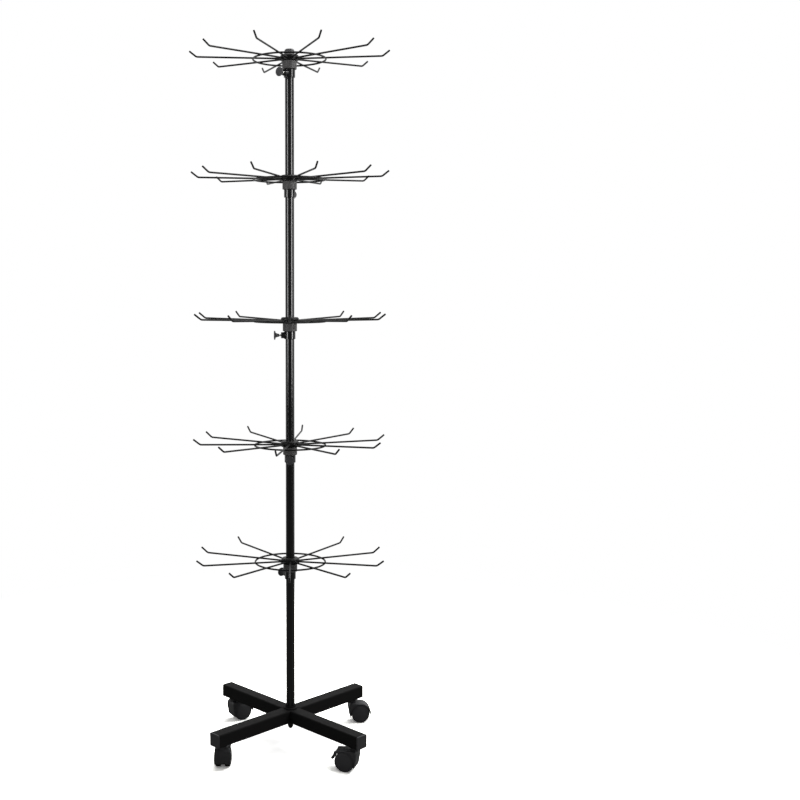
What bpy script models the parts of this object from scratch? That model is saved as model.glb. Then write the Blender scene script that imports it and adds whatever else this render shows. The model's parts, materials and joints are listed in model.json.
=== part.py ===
"""Rotating storage rack: five wheels of wire hooks on a pole, over a cross base on castors.

Metres, +Z up. The origin is on the floor under the pole. Each wheel of hooks turns on a plastic sleeve
that stands on a collar, and the collar is clamped to the pole at any height by a thumb screw.
"""
import math

import bmesh
import bpy
from mathutils import Matrix, Vector

# Clearances
GAP = 0.0003                # between pieces that touch
CAP_CLEARANCE = 0.002       # between the top sleeve and the pole cap

# Pole
POLE_RADIUS = 0.010
POLE_WALL = 0.0012
POLE_JOINT_HEIGHT = 0.840   # where the lower tube ends and the upper one starts
SPIGOT_LENGTH = 0.090
SPIGOT_WALL = 0.0015
CAP_HEIGHT = 0.0105
CAP_OVERHANG = 0.0012       # by how much the cap is wider than the pole, each side
CAP_PLUG = 0.016
CAP_EDGE = ((1.0, 0.45), (0.93, 0.74), (0.72, 0.93), (0.42, 1.0))    # its round edge, in shares of its size

# Tiers, from the top down: height of the wires at the hub, and the azimuth of one wire and of the screw
TIER_HEIGHTS = (1.559, 1.299, 0.985, 0.705, 0.435)
WIRE_AZIMUTHS = (1.0, 35.0, 20.0, 12.0, 19.5)
SCREW_AZIMUTHS = (232.0, 82.0, 186.0, 270.0, 128.0)

# Hook wheel
ARM_COUNT = 10
WIRE_RADIUS = 0.002
TIP_RADIUS = 0.220          # pole axis to the tip of a hook
HOOK_RUN = 0.0158           # how far out the upturned end goes
HOOK_RISE = 0.0124          # and how far up
HOOK_BEND = 0.010           # radius of the bend, on the wire's middle
ARM_RISE = 0.0045           # the wire climbs this much from the hub to its bend
SUPPORT_RADIUS = 0.080      # the wire ring under the arms
WELD_DEPTH = 0.001          # how far the ring's wire sinks into the arms' at each weld
HUB_WALL = 0.0065
HUB_BELOW = 0.005           # hub ring, below and above the wires
HUB_ABOVE = 0.008
HUB_CHAMFER = 0.0025
WELD_BEAD = 1.55            # radius of the weld bead at the hub, in wire radii
WELD_REACH = 0.0025         # how far the bead stands out of the hub
WELD_TAPER = 0.0015

# Bearing sleeve and lock collar
SLEEVE_RADIUS = 0.016
SLEEVE_HEIGHT = 0.018
SLEEVE_NECK_WALL = 0.0029
SLEEVE_EDGE = 0.0008
COLLAR_WALL = 0.0022
COLLAR_HEIGHT = 0.0175
COLLAR_EDGE = 0.0008
BOSS_RADIUS = 0.007
BOSS_LENGTH = 0.0075        # beyond the collar
BOSS_EDGE = 0.0014

# Clamp screw and thumb knob
SCREW_RADIUS = 0.0025
SCREW_TIP = 0.0006
KNOB_STANDOFF = 0.0045      # bare shank between the boss and the knob
KNOB_RADIUS = 0.010
KNOB_DISC = 0.0028
KNOB_EDGE = 0.0006
KNOB_NECK = 0.0083
KNOB_NECK_WALL = 0.0006
KNOB_FLARE = ((0.06, 0.40), (0.22, 0.74), (0.52, 0.95))     # the neck's flare, in shares out and along
KNOB_SOCKET = 0.0084

# Base
LEG_SIZE = 0.030
LEG_WALL = 0.0015
LEG_EDGE = 0.003            # rounding of the tube's outer edges
LEG_REACH = 0.229           # pole axis to the end of a leg
LEG_AZIMUTH = 45.0
LEG_CAP_PLATE = 0.003
LEG_CAP_EDGE = 0.0005
LEG_CAP_PLUG = 0.010
FLANGE_RADIUS = 0.016
FLANGE_PLATE = 0.0025
FLANGE_NECK_WALL = 0.0018
FLANGE_NECK = 0.0075
FLANGE_CHAMFER = 0.0006
STUD_RADIUS = 0.004
STUD_PLUG = 0.030
NUT_ACROSS_FLATS = 0.014
NUT_HEX = 0.009
NUT_DOME = 0.0095
NUT_DOME_WIDTH = 0.94       # of the distance across the flats
NUT_SOCKET = 0.0155
STUD_REACH = 0.0145         # below the legs

# Castors, named by the corner that they stand at
CASTOR_HEIGHT = 0.057       # floor to the underside of the legs
CASTOR_INSET = 0.0235       # stem axis to the end of the leg
TRAIL = 0.0195               # stem axis to the axle
STEM_PLATE_RADIUS = 0.0095
STEM_PLATE = 0.003
STEM_PIN_RADIUS = 0.004
STEM_PIN = 0.0110
STEM_SHANK_RADIUS = 0.0055
STEM_SHANK = 0.019
WHEEL_RADIUS = 0.0225
TREAD_WIDTH = 0.0102
TREAD_EDGE = 0.0012
WHEEL_DOME = 0.005
WEB_HALF_WIDTH = 0.004
AXLE_RADIUS = 0.0025
HOOD_HALF_WIDTH = 0.019
HOOD_CLEARANCE = 0.0010     # between the tread and the hood
HOOD_WALL = 0.0028
HOOD_BARREL = 0.12          # by how much of its width the hood narrows at its foot
HOOD_EDGE = 0.006           # width of the hood's rounded sides
HOOD_ROUNDING = 0.0012      # and how far they draw in its round
SHOULDER_ROUNDING = 0.0015   # and its shoulder down
NECK_HEIGHT = 0.004         # the round neck above the shoulder
NECK_WALL = 0.0049
AXLE_BOSS = 0.007
HOOD_FRONT = 202.0          # where the hood ends, in degrees round the axle from the trailing side
HOOD_BACK = 0.0
HOOD_BACK_BRAKED = 56.0
HOOD_SLOPE = 74.0           # where the hood's back slope meets its round
HOOD_FACE = 178.0           # where its round meets the upright face in front
HOOD_FLAT = 0.75            # how far back the shoulder is level, in neck radii
HOOD_SIDE = ((1.0, 0.0), (1 / 3, 0.4), (0.0, 1.0))      # its rounding, in shares of both sizes
WEB_FOOT = (210.0, 330.0)   # the part of the axle boss that stands out below the web
CORNERS = {"front_left": 180.0, "front_right": 270.0, "back_right": 0.0, "back_left": 90.0}
TRAIL_AZIMUTHS = {"front_left": 92.0, "front_right": 162.0, "back_right": 6.0, "back_left": 30.0}
BRAKED = ("front_right", "front_left")

# Brake lever
LEVER_PIVOT_REACH = 0.0278  # axle to pivot
LEVER_PIVOT_ANGLE = 45.0
LEVER_BARREL = 0.0026
LEVER_PIN_RADIUS = 0.0015
LEVER_HALF_WIDTH = 0.0125
LEVER_LENGTH = 38.0         # how far the shoe reaches below the pivot, in degrees round the axle
LEVER_SHOE_START = 9.0      # where its inner face starts below the pivot
LEVER_BACK_START = 19.0     # and its outer face
LEVER_LIP_WIDTH = 6.0
LEVER_NOSE = (-47.0, 153.0)     # the free part of the barrel, from the direction away from the axle
LEVER_SHOE_CLEARANCE = 0.003
LEVER_THICKNESS = 0.004
LEVER_LIP = 0.0018
EAR_WALL = 0.0011
EAR_THICKNESS = 0.0035
EAR_TOE = 4.0               # how far the ear's foot stands below the hood's end, in degrees round the axle
EAR_ROOT = 12.0             # and how far it reaches up over the hood
EAR_NOSE = (180.0, 375.0)   # the round part of the ear, from the direction away from the axle

WHEEL_STEPS = 20
ROUND_STEPS = 20
POLE_STEPS = 30
SMALL_STEPS = 16
PIN_STEPS = 12
HUB_STEPS = 30              # a whole number of steps between two arms
RING_STEPS = 30
SMOOTH_ANGLE = math.radians(35.0)


def bore_round(radius, steps):
    """Corner radius of a round hole drawn with flats, so that a shaft clears it by the gap."""
    return (radius + GAP) / math.cos(math.pi / steps)


# What follows from the sizes above
SLIDING_BORE = bore_round(POLE_RADIUS, ROUND_STEPS)
POLE_BORE = POLE_RADIUS - POLE_WALL
PLUG_RADIUS = POLE_BORE - GAP
NECK_RADIUS = SLIDING_BORE + SLEEVE_NECK_WALL
HUB_BORE = bore_round(NECK_RADIUS, HUB_STEPS)
HUB_RADIUS = HUB_BORE + HUB_WALL
BEND_REACH = TIP_RADIUS - HOOK_RUN
COLLAR_RADIUS = SLIDING_BORE + COLLAR_WALL
BOSS_REACH = COLLAR_RADIUS + BOSS_LENGTH
SCREW_BORE = bore_round(SCREW_RADIUS, PIN_STEPS)
KNOB_START = BOSS_REACH + KNOB_STANDOFF
SLEEVE_TOP = -HUB_BELOW - GAP
SLEEVE_BOTTOM = SLEEVE_TOP - SLEEVE_HEIGHT
COLLAR_TOP = SLEEVE_BOTTOM - GAP
COLLAR_BOTTOM = COLLAR_TOP - COLLAR_HEIGHT
SCREW_LEVEL = (COLLAR_TOP + COLLAR_BOTTOM) / 2
LEG_TOP = CASTOR_HEIGHT + LEG_SIZE
LEG_MIDDLE = CASTOR_HEIGHT + LEG_SIZE / 2
LEG_BORE = LEG_SIZE - 2 * LEG_WALL
LEG_BORE_EDGE = max(LEG_EDGE - LEG_WALL, LEG_WALL / 2)
POLE_FOOT = LEG_TOP + FLANGE_PLATE + 2 * GAP
POLE_TOP = TIER_HEIGHTS[0] + HUB_ABOVE + CAP_CLEARANCE
CASTOR_REACH = LEG_REACH - CASTOR_INSET
HOUSING_TOP = CASTOR_HEIGHT - STEM_PLATE - 2 * GAP
SHOULDER = HOUSING_TOP - NECK_HEIGHT
HOUSING_NECK_RADIUS = STEM_PIN_RADIUS + NECK_WALL
HOOD_INNER = WHEEL_RADIUS + HOOD_CLEARANCE
HOOD_OUTER = HOOD_INNER + HOOD_WALL
AXLE = (TRAIL, WHEEL_RADIUS)
WHEEL_INNER = WEB_HALF_WIDTH + GAP
AXLE_HALF_LENGTH = WHEEL_INNER + TREAD_WIDTH


def clear_scene():
    """Remove what the file starts with."""
    for thing in list(bpy.data.objects):
        bpy.data.objects.remove(thing, do_unlink=True)


# Materials

def principled(name, colour, roughness, metallic=0.0):
    """A plain surface, made once for all the pieces that have it; the colour is linear."""
    if name in bpy.data.materials:
        return bpy.data.materials[name]
    material = bpy.data.materials.new(name)
    material.use_nodes = True
    shader = material.node_tree.nodes["Principled BSDF"]
    shader.inputs["Base Color"].default_value = (*colour, 1.0)
    shader.inputs["Roughness"].default_value = roughness
    shader.inputs["Metallic"].default_value = metallic
    return material


def gloss_paint():
    return principled("gloss_black_paint", (0.012, 0.012, 0.013), 0.22)


def powder_coat():
    return principled("black_powder_coat", (0.018, 0.018, 0.019), 0.48)


def wire_coat():
    return principled("black_wire_coat", (0.014, 0.014, 0.015), 0.40)


def sleeve_plastic():
    return principled("grey_sleeve_plastic", (0.055, 0.053, 0.053), 0.60)


def black_plastic():
    return principled("black_moulded_plastic", (0.016, 0.016, 0.017), 0.50)


def wheel_plastic():
    return principled("black_wheel_plastic", (0.022, 0.022, 0.023), 0.42)


def zinc():
    return principled("zinc_plated_steel", (0.55, 0.56, 0.57), 0.32, 1.0)


def black_steel():
    return principled("blackened_steel", (0.020, 0.020, 0.020), 0.38, 0.6)


# Modelling helpers

def finish(mesh, bm):
    """Write the shape into the mesh, faces out, round sides smooth."""
    bmesh.ops.recalc_face_normals(bm, faces=bm.faces)
    bm.to_mesh(mesh)
    bm.free()
    mesh.shade_smooth()
    mesh.set_sharp_from_angle(angle=SMOOTH_ANGLE)
    return mesh


def turned(name, profile, steps, closed=False, flat_down=False):
    """Turn a profile of (radius, height) points round Z.

    A closed profile makes a ring with a bore. With flat_down the rounds are polygons whose flats, not
    whose corners, lie at the radius, and a flat faces each axis.
    """
    bm = bmesh.new()
    half_step = math.pi / steps
    scale = 1.0 / math.cos(half_step) if flat_down else 1.0
    points = [bm.verts.new((radius * scale, 0.0, height)) for radius, height in profile]
    pairs = list(zip(points, points[1:]))
    if closed:
        pairs.append((points[-1], points[0]))
    edges = [bm.edges.new(pair) for pair in pairs]
    bmesh.ops.spin(bm, geom=points + edges, axis=(0, 0, 1), cent=(0, 0, 0), angle=2 * math.pi,
                   steps=steps, use_merge=True)
    bmesh.ops.remove_doubles(bm, verts=bm.verts, dist=1e-7)
    if flat_down:
        bmesh.ops.rotate(bm, verts=bm.verts, matrix=Matrix.Rotation(half_step, 3, "Z"))
    return finish(bpy.data.meshes.new(name), bm)


def lofted(name, rings):
    """Join rings of equally many points, and close both ends."""
    bm = bmesh.new()
    rows = [[bm.verts.new(point) for point in ring] for ring in rings]
    for low, high in zip(rows, rows[1:]):
        for i in range(len(low)):
            j = (i + 1) % len(low)
            bm.faces.new((low[i], low[j], high[j], high[i]))
    bm.faces.new(rows[0])
    bm.faces.new(rows[-1])
    return finish(bpy.data.meshes.new(name), bm)


def slab(name, outline, half_width):
    """Extrude an outline of (x, z) points to both sides along Y."""
    return lofted(name, [[(x, y, z) for x, z in outline] for y in (-half_width, half_width)])


def block(name, low, high):
    """A box between two corners."""
    bm = bmesh.new()
    bmesh.ops.create_cube(bm, size=1.0)
    low, high = Vector(low), Vector(high)
    bmesh.ops.scale(bm, verts=bm.verts, vec=high - low)
    bmesh.ops.translate(bm, verts=bm.verts, vec=(low + high) / 2)
    return finish(bpy.data.meshes.new(name), bm)


def rod(name, radius, low, high, steps, matrix=None):
    """A plain round bar along Z, or along Z turned by a matrix."""
    mesh = turned(name, [(0.0, low), (radius, low), (radius, high), (0.0, high)], steps)
    if matrix is not None:
        mesh.transform(matrix)
    return mesh


def merged(name, meshes):
    """Several separate shapes as one mesh, to cut or join with in one step."""
    bm = bmesh.new()
    for mesh in meshes:
        bm.from_mesh(mesh)
        bpy.data.meshes.remove(mesh)
    return finish(bpy.data.meshes.new(name), bm)


def baked(thing):
    """The object's shape with its curves and modifiers worked out, as a mesh of its own."""
    bpy.context.view_layer.update()
    depsgraph = bpy.context.evaluated_depsgraph_get()
    return bpy.data.meshes.new_from_object(thing.evaluated_get(depsgraph), depsgraph=depsgraph)


def boolean(mesh, tool_mesh, operation):
    """Join a second shape to a mesh or cut it away, and give the result."""
    thing = bpy.data.objects.new(mesh.name, mesh)
    tool = bpy.data.objects.new(tool_mesh.name, tool_mesh)
    tool.hide_render = True
    tool.display_type = "WIRE"
    for part in (thing, tool):
        bpy.context.scene.collection.objects.link(part)
    modifier = thing.modifiers.new("boolean", "BOOLEAN")
    modifier.operation = operation
    modifier.solver = "EXACT"
    modifier.object = tool
    result = baked(thing)
    name = mesh.name
    for part in (thing, tool):
        bpy.data.objects.remove(part, do_unlink=True)
    for used in (mesh, tool_mesh):
        bpy.data.meshes.remove(used)
    result.name = name
    bm = bmesh.new()
    bm.from_mesh(result)
    bmesh.ops.remove_doubles(bm, verts=bm.verts, dist=1e-6)
    bmesh.ops.dissolve_degenerate(bm, edges=bm.edges, dist=1e-6)
    return finish(result, bm)


def join(mesh, tool_mesh):
    return boolean(mesh, tool_mesh, "UNION")


def cut(mesh, tool_mesh):
    return boolean(mesh, tool_mesh, "DIFFERENCE")


def place(name, mesh, material, location=(0, 0, 0), rotation=(0, 0, 0), parent=None):
    """Put a named piece in the scene; angles are in degrees."""
    thing = bpy.data.objects.new(name, mesh)
    if not mesh.materials:
        mesh.materials.append(material)
    thing.location = location
    thing.rotation_euler = [math.radians(angle) for angle in rotation]
    thing.parent = parent
    bpy.context.scene.collection.objects.link(thing)
    return thing


def pivot(name, location, azimuth, parent=None):
    """An empty that a group of pieces hangs on."""
    thing = bpy.data.objects.new(name, None)
    thing.location = location
    thing.rotation_euler = (0.0, 0.0, math.radians(azimuth))
    thing.parent = parent
    bpy.context.scene.collection.objects.link(thing)
    return thing


def polar(centre, radius, degrees):
    """A point at an angle round a centre."""
    angle = math.radians(degrees)
    return (centre[0] + radius * math.cos(angle), centre[1] + radius * math.sin(angle))


def arc(centre, radius, start, stop, steps):
    """Points along an arc, both ends included."""
    return [polar(centre, radius, start + (stop - start) * i / steps) for i in range(steps + 1)]


def dome(radius, level, rise, steps):
    """Profile points of a low dome, from its rim to its top."""
    quarter = [math.pi / 2 * i / steps for i in range(steps)]
    side = [(radius * math.cos(angle), level + rise * math.sin(angle)) for angle in quarter]
    return side + [(0.0, level + rise)]


def rounded_square(size, edge, steps=3):
    """Corner points of a square with rounded edges, as (across, up)."""
    half = size / 2 - edge
    corners = ((half, half, 0), (-half, half, 90), (-half, -half, 180), (half, -half, 270))
    return [point for x, y, start in corners for point in arc((x, y), edge, start, start + 90, steps)]


# Base

def leg_tube(name, notch_from_top):
    """A square tube along X, notched at its middle so that two of them cross flush."""
    half_length = LEG_REACH - LEG_CAP_PLATE - GAP
    outer = rounded_square(LEG_SIZE, LEG_EDGE)
    inner = rounded_square(LEG_BORE, LEG_BORE_EDGE)
    tube = lofted(name, [[(x, y, z) for y, z in outer] for x in (-half_length, half_length)])
    past = 2 * half_length
    bore = lofted("bore", [[(x, y, z) for y, z in inner] for x in (-past, past)])
    tube = cut(tube, bore)
    notch = LEG_SIZE / 2 + GAP
    level = -GAP / 2 if notch_from_top else GAP / 2
    low, high = sorted((level, LEG_SIZE if notch_from_top else -LEG_SIZE))
    tube = cut(tube, block("notch", (-notch, -LEG_SIZE, low), (notch, LEG_SIZE, high)))
    stem_hole = bore_round(STEM_SHANK_RADIUS, SMALL_STEPS)
    holes = [rod("hole", bore_round(STUD_RADIUS, SMALL_STEPS), -LEG_SIZE, LEG_SIZE, SMALL_STEPS)]
    for side in (-1, 1):
        shift = Matrix.Translation((side * CASTOR_REACH, 0.0, 0.0))
        holes.append(rod("hole", stem_hole, -LEG_SIZE, 0.0, SMALL_STEPS, shift))
    return cut(tube, merged("holes", holes))


def leg_cap():
    """A moulded cap: a plate over the tube's end and a plug inside it, along -X."""
    plate = rounded_square(LEG_SIZE, LEG_EDGE)
    face = rounded_square(LEG_SIZE - 2 * LEG_CAP_EDGE, LEG_EDGE)
    plug = rounded_square(LEG_BORE - 2 * GAP, LEG_BORE_EDGE)
    depth = -LEG_CAP_PLATE - LEG_CAP_PLUG
    stack = ((0.0, face), (-LEG_CAP_EDGE, plate), (-LEG_CAP_PLATE, plate), (-LEG_CAP_PLATE, plug),
             (depth, plug))
    return lofted("leg_cap", [[(x, y, z) for y, z in outline] for x, outline in stack])


def foot_flange():
    """The round seat that the pole stands in."""
    bore = bore_round(POLE_RADIUS, ROUND_STEPS)
    neck = bore + FLANGE_NECK_WALL
    stud = bore_round(STUD_RADIUS, ROUND_STEPS)
    profile = [(stud, 0.0), (FLANGE_RADIUS, 0.0), (FLANGE_RADIUS, FLANGE_PLATE - FLANGE_CHAMFER),
               (FLANGE_RADIUS - FLANGE_CHAMFER, FLANGE_PLATE), (neck + FLANGE_NECK_WALL, FLANGE_PLATE),
               (neck, FLANGE_PLATE + FLANGE_NECK_WALL), (neck - FLANGE_CHAMFER, FLANGE_NECK),
               (bore, FLANGE_NECK), (bore, FLANGE_PLATE), (stud, FLANGE_PLATE)]
    return turned("foot_flange", profile, ROUND_STEPS, closed=True)


def foot_stud():
    """A plug inside the pole's foot, and the threaded stud below it."""
    bottom = CASTOR_HEIGHT - STUD_REACH
    plug_bottom = POLE_FOOT + GAP
    profile = [(0.0, bottom), (STUD_RADIUS, bottom), (STUD_RADIUS, plug_bottom), (PLUG_RADIUS, plug_bottom),
               (PLUG_RADIUS, plug_bottom + STUD_PLUG), (0.0, plug_bottom + STUD_PLUG)]
    return turned("foot_stud", profile, ROUND_STEPS)


def base_nut():
    """A domed hexagon nut, mouth up, that draws the legs and the pole together."""
    corner = NUT_ACROSS_FLATS / math.sqrt(3)
    radius = NUT_DOME_WIDTH * NUT_ACROSS_FLATS / 2
    hexagon = rod("base_nut", corner, -NUT_HEX, 0.0, 6)
    profile = [(0.0, -NUT_HEX / 2), (radius, -NUT_HEX / 2)] + dome(radius, -NUT_HEX, -NUT_DOME, 3)
    nut = join(hexagon, turned("dome", profile, SMALL_STEPS))
    return cut(nut, rod("socket", bore_round(STUD_RADIUS, SMALL_STEPS), -NUT_SOCKET, NUT_HEX, SMALL_STEPS))


def build_base():
    """Legs, their caps, the foot of the pole and the nut below."""
    coat, plastic, steel = powder_coat(), black_plastic(), black_steel()
    middle = (0.0, 0.0, LEG_MIDDLE)
    place("leg_tube_lower", leg_tube("leg_tube_lower", True), coat, middle, (0, 0, LEG_AZIMUTH))
    place("leg_tube_upper", leg_tube("leg_tube_upper", False), coat, middle, (0, 0, LEG_AZIMUTH + 90))
    cap = leg_cap()
    for corner, turn in CORNERS.items():
        azimuth = LEG_AZIMUTH + turn
        x, y = polar((0.0, 0.0), LEG_REACH, azimuth)
        place("leg_cap_" + corner, cap, plastic, (x, y, LEG_MIDDLE), (0, 0, azimuth))
    place("foot_flange", foot_flange(), coat, (0, 0, LEG_TOP + GAP))
    place("foot_stud", foot_stud(), steel)
    place("base_nut", base_nut(), steel, (0, 0, CASTOR_HEIGHT - GAP))


# Pole

def pole_tube(name, low, high):
    """A length of round tube."""
    profile = [(POLE_BORE, low), (POLE_RADIUS, low), (POLE_RADIUS, high), (POLE_BORE, high)]
    return turned(name, profile, POLE_STEPS, closed=True)


def pole_cap():
    """A low dome over the top of the pole, with a flat crown and a plug inside."""
    brim = POLE_RADIUS + CAP_OVERHANG
    profile = [(0.0, -CAP_PLUG), (PLUG_RADIUS, -CAP_PLUG), (PLUG_RADIUS, 0.0), (brim, 0.0)]
    profile += [(brim * out, CAP_HEIGHT * up) for out, up in CAP_EDGE]
    return turned("pole_cap", profile + [(0.0, CAP_HEIGHT)], ROUND_STEPS)


def build_pole():
    """Two tubes end to end, the spigot that joins them and the cap."""
    paint = gloss_paint()
    joint = POLE_JOINT_HEIGHT
    place("pole_lower", pole_tube("pole_lower", POLE_FOOT, joint - GAP / 2), paint)
    place("pole_upper", pole_tube("pole_upper", joint + GAP / 2, POLE_TOP), paint)
    bore, half = PLUG_RADIUS - SPIGOT_WALL, SPIGOT_LENGTH / 2
    profile = [(bore, -half), (PLUG_RADIUS, -half), (PLUG_RADIUS, half), (bore, half)]
    spigot = turned("pole_spigot", profile, ROUND_STEPS, closed=True)
    place("pole_spigot", spigot, black_steel(), (0, 0, joint))
    place("pole_cap", pole_cap(), black_plastic(), (0, 0, POLE_TOP + GAP))


# Tiers

def arm_height(reach):
    """Height of a wire's middle over the hub, at a distance from the pole axis."""
    return ARM_RISE * (reach - HUB_RADIUS) / (BEND_REACH - HUB_RADIUS)


def arm_path():
    """The run of one wire as (reach, height, thickness in wire radii)."""
    bead_end = HUB_RADIUS + WELD_REACH
    inner = HUB_BORE + HUB_WALL / 2
    slope = math.atan2(ARM_RISE, BEND_REACH - HUB_RADIUS)
    upturn = math.atan2(HOOK_RISE, HOOK_RUN)
    tangent = HOOK_BEND * math.tan((upturn - slope) / 2)
    corner = Vector((BEND_REACH, arm_height(BEND_REACH)))
    start = corner - tangent * Vector((math.cos(slope), math.sin(slope)))
    centre = start + HOOK_BEND * Vector((-math.sin(slope), math.cos(slope)))
    path = [(inner, 0.0, WELD_BEAD), (bead_end, 0.0, WELD_BEAD), (bead_end + WELD_TAPER, 0.0, 1.0)]
    bend = arc(centre, HOOK_BEND, math.degrees(slope) - 90, math.degrees(upturn) - 90, 2)
    path += [(reach, height, 1.0) for reach, height in bend]
    return path + [(TIP_RADIUS, corner.y + HOOK_RISE, 1.0)]


def wire(name, runs, cyclic=False):
    """Round wire along one or more runs of (x, y, z, thickness) points."""
    curve = bpy.data.curves.new(name, "CURVE")
    curve.dimensions = "3D"
    curve.bevel_depth = WIRE_RADIUS
    curve.bevel_resolution = 1
    curve.use_fill_caps = True
    for run in runs:
        spline = curve.splines.new("POLY")
        spline.points.add(len(run) - 1)
        for point, (x, y, z, thickness) in zip(spline.points, run):
            point.co = (x, y, z, 1.0)
            point.radius = thickness
        spline.use_cyclic_u = cyclic
    thing = bpy.data.objects.new(name, curve)
    bpy.context.scene.collection.objects.link(thing)
    mesh = baked(thing)
    bpy.data.objects.remove(thing, do_unlink=True)
    bpy.data.curves.remove(curve)
    bm = bmesh.new()
    bm.from_mesh(mesh)
    bmesh.ops.remove_doubles(bm, verts=bm.verts, dist=1e-6)
    return finish(mesh, bm)


def hook_wheel():
    """Ten hooks and their support ring, welded to a hub ring into one piece."""
    profile = [(HUB_BORE, -HUB_BELOW), (HUB_RADIUS - HUB_CHAMFER / 2, -HUB_BELOW),
               (HUB_RADIUS, -HUB_BELOW + HUB_CHAMFER / 2), (HUB_RADIUS, HUB_ABOVE - HUB_CHAMFER),
               (HUB_RADIUS - HUB_CHAMFER, HUB_ABOVE), (HUB_BORE, HUB_ABOVE)]
    hub = turned("hook_wheel", profile, HUB_STEPS, closed=True)
    arms = []
    for i in range(ARM_COUNT):
        azimuth = 360.0 * i / ARM_COUNT
        arms.append([(*polar((0.0, 0.0), reach, azimuth), height, thickness)
                     for reach, height, thickness in arm_path()])
    level = arm_height(SUPPORT_RADIUS) - 2 * WIRE_RADIUS + WELD_DEPTH
    half_step = 180.0 / RING_STEPS
    ring = [(*polar((0.0, 0.0), SUPPORT_RADIUS, half_step * (2 * i + 1)), level, 1.0)
            for i in range(RING_STEPS)]
    spokes = join(wire("arms", arms), wire("support_ring", [ring], cyclic=True))
    return join(hub, spokes)


def bearing_sleeve():
    """A plastic bush that carries the hub ring, with a neck inside it."""
    neck_top = HUB_ABOVE
    profile = [(SLIDING_BORE, SLEEVE_BOTTOM), (SLEEVE_RADIUS - SLEEVE_EDGE, SLEEVE_BOTTOM),
               (SLEEVE_RADIUS, SLEEVE_BOTTOM + SLEEVE_EDGE), (SLEEVE_RADIUS, SLEEVE_TOP),
               (NECK_RADIUS, SLEEVE_TOP), (NECK_RADIUS, neck_top), (SLIDING_BORE, neck_top)]
    return turned("bearing_sleeve", profile, ROUND_STEPS, closed=True)


def lock_collar():
    """A ring round the pole, with a boss along +X for the clamp screw."""
    body = [(0.0, COLLAR_BOTTOM), (COLLAR_RADIUS - COLLAR_EDGE, COLLAR_BOTTOM),
            (COLLAR_RADIUS, COLLAR_BOTTOM + COLLAR_EDGE), (COLLAR_RADIUS, COLLAR_TOP - COLLAR_EDGE),
            (COLLAR_RADIUS - COLLAR_EDGE, COLLAR_TOP), (0.0, COLLAR_TOP)]
    boss = [(0.0, 0.0), (BOSS_RADIUS, 0.0), (BOSS_RADIUS, BOSS_REACH - BOSS_EDGE),
            (BOSS_RADIUS - BOSS_EDGE, BOSS_REACH), (0.0, BOSS_REACH)]
    sideways = Matrix.Translation((0, 0, SCREW_LEVEL)) @ Matrix.Rotation(math.pi / 2, 4, "Y")
    boss_mesh = turned("boss", boss, SMALL_STEPS)
    boss_mesh.transform(sideways)
    collar = join(turned("lock_collar", body, ROUND_STEPS), boss_mesh)
    past = COLLAR_HEIGHT
    collar = cut(collar, rod("bore", SLIDING_BORE, COLLAR_BOTTOM - past, COLLAR_TOP + past, ROUND_STEPS))
    return cut(collar, rod("screw_hole", SCREW_BORE, 0.0, 2 * BOSS_REACH, PIN_STEPS, sideways))


def clamp_screw():
    """The bright shank along +Z, from just off the pole to inside the knob."""
    start = POLE_RADIUS + GAP
    end = KNOB_START + KNOB_SOCKET - GAP
    tip = SCREW_RADIUS - SCREW_TIP
    profile = [(0.0, start), (tip, start), (SCREW_RADIUS, start + SCREW_TIP), (SCREW_RADIUS, end),
               (0.0, end)]
    return turned("clamp_screw", profile, PIN_STEPS)


def thumb_knob():
    """A round knob with a flared neck, along +Z."""
    neck = SCREW_BORE + KNOB_NECK_WALL
    disc = KNOB_START + KNOB_NECK
    top = disc + KNOB_DISC
    rim = KNOB_RADIUS - KNOB_EDGE
    flare = KNOB_RADIUS - neck
    profile = [(0.0, KNOB_START + KNOB_SOCKET), (SCREW_BORE, KNOB_START + KNOB_SOCKET),
               (SCREW_BORE, KNOB_START), (neck, KNOB_START)]
    profile += [(neck + out * flare, KNOB_START + along * KNOB_NECK) for out, along in KNOB_FLARE]
    profile += [(rim, disc), (KNOB_RADIUS, disc + KNOB_EDGE), (KNOB_RADIUS, top - KNOB_EDGE), (rim, top),
                (0.0, top)]
    return turned("thumb_knob", profile, SMALL_STEPS)


def build_tiers():
    """Five tiers that share their shapes, each at its own height and turned its own way."""
    pieces = (("hook_wheel_", hook_wheel(), wire_coat()),
              ("bearing_sleeve_", bearing_sleeve(), sleeve_plastic()),
              ("lock_collar_", lock_collar(), gloss_paint()))
    screw, knob = clamp_screw(), thumb_knob()
    bright, plastic = zinc(), black_plastic()
    for i, height in enumerate(TIER_HEIGHTS):
        number = str(i + 1)
        azimuths = (WIRE_AZIMUTHS[i], WIRE_AZIMUTHS[i], SCREW_AZIMUTHS[i])
        for (name, mesh, material), azimuth in zip(pieces, azimuths):
            place(name + number, mesh, material, (0, 0, height), (0, 0, azimuth))
        side = pivot("screw_axis_" + number, (0, 0, height + SCREW_LEVEL), SCREW_AZIMUTHS[i])
        place("clamp_screw_" + number, screw, bright, rotation=(0, 90, 0), parent=side)
        place("thumb_knob_" + number, knob, plastic, rotation=(0, 90, 0), parent=side)


# Castors: X runs from the stem to the axle, Y along the axle, Z up from the floor

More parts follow.
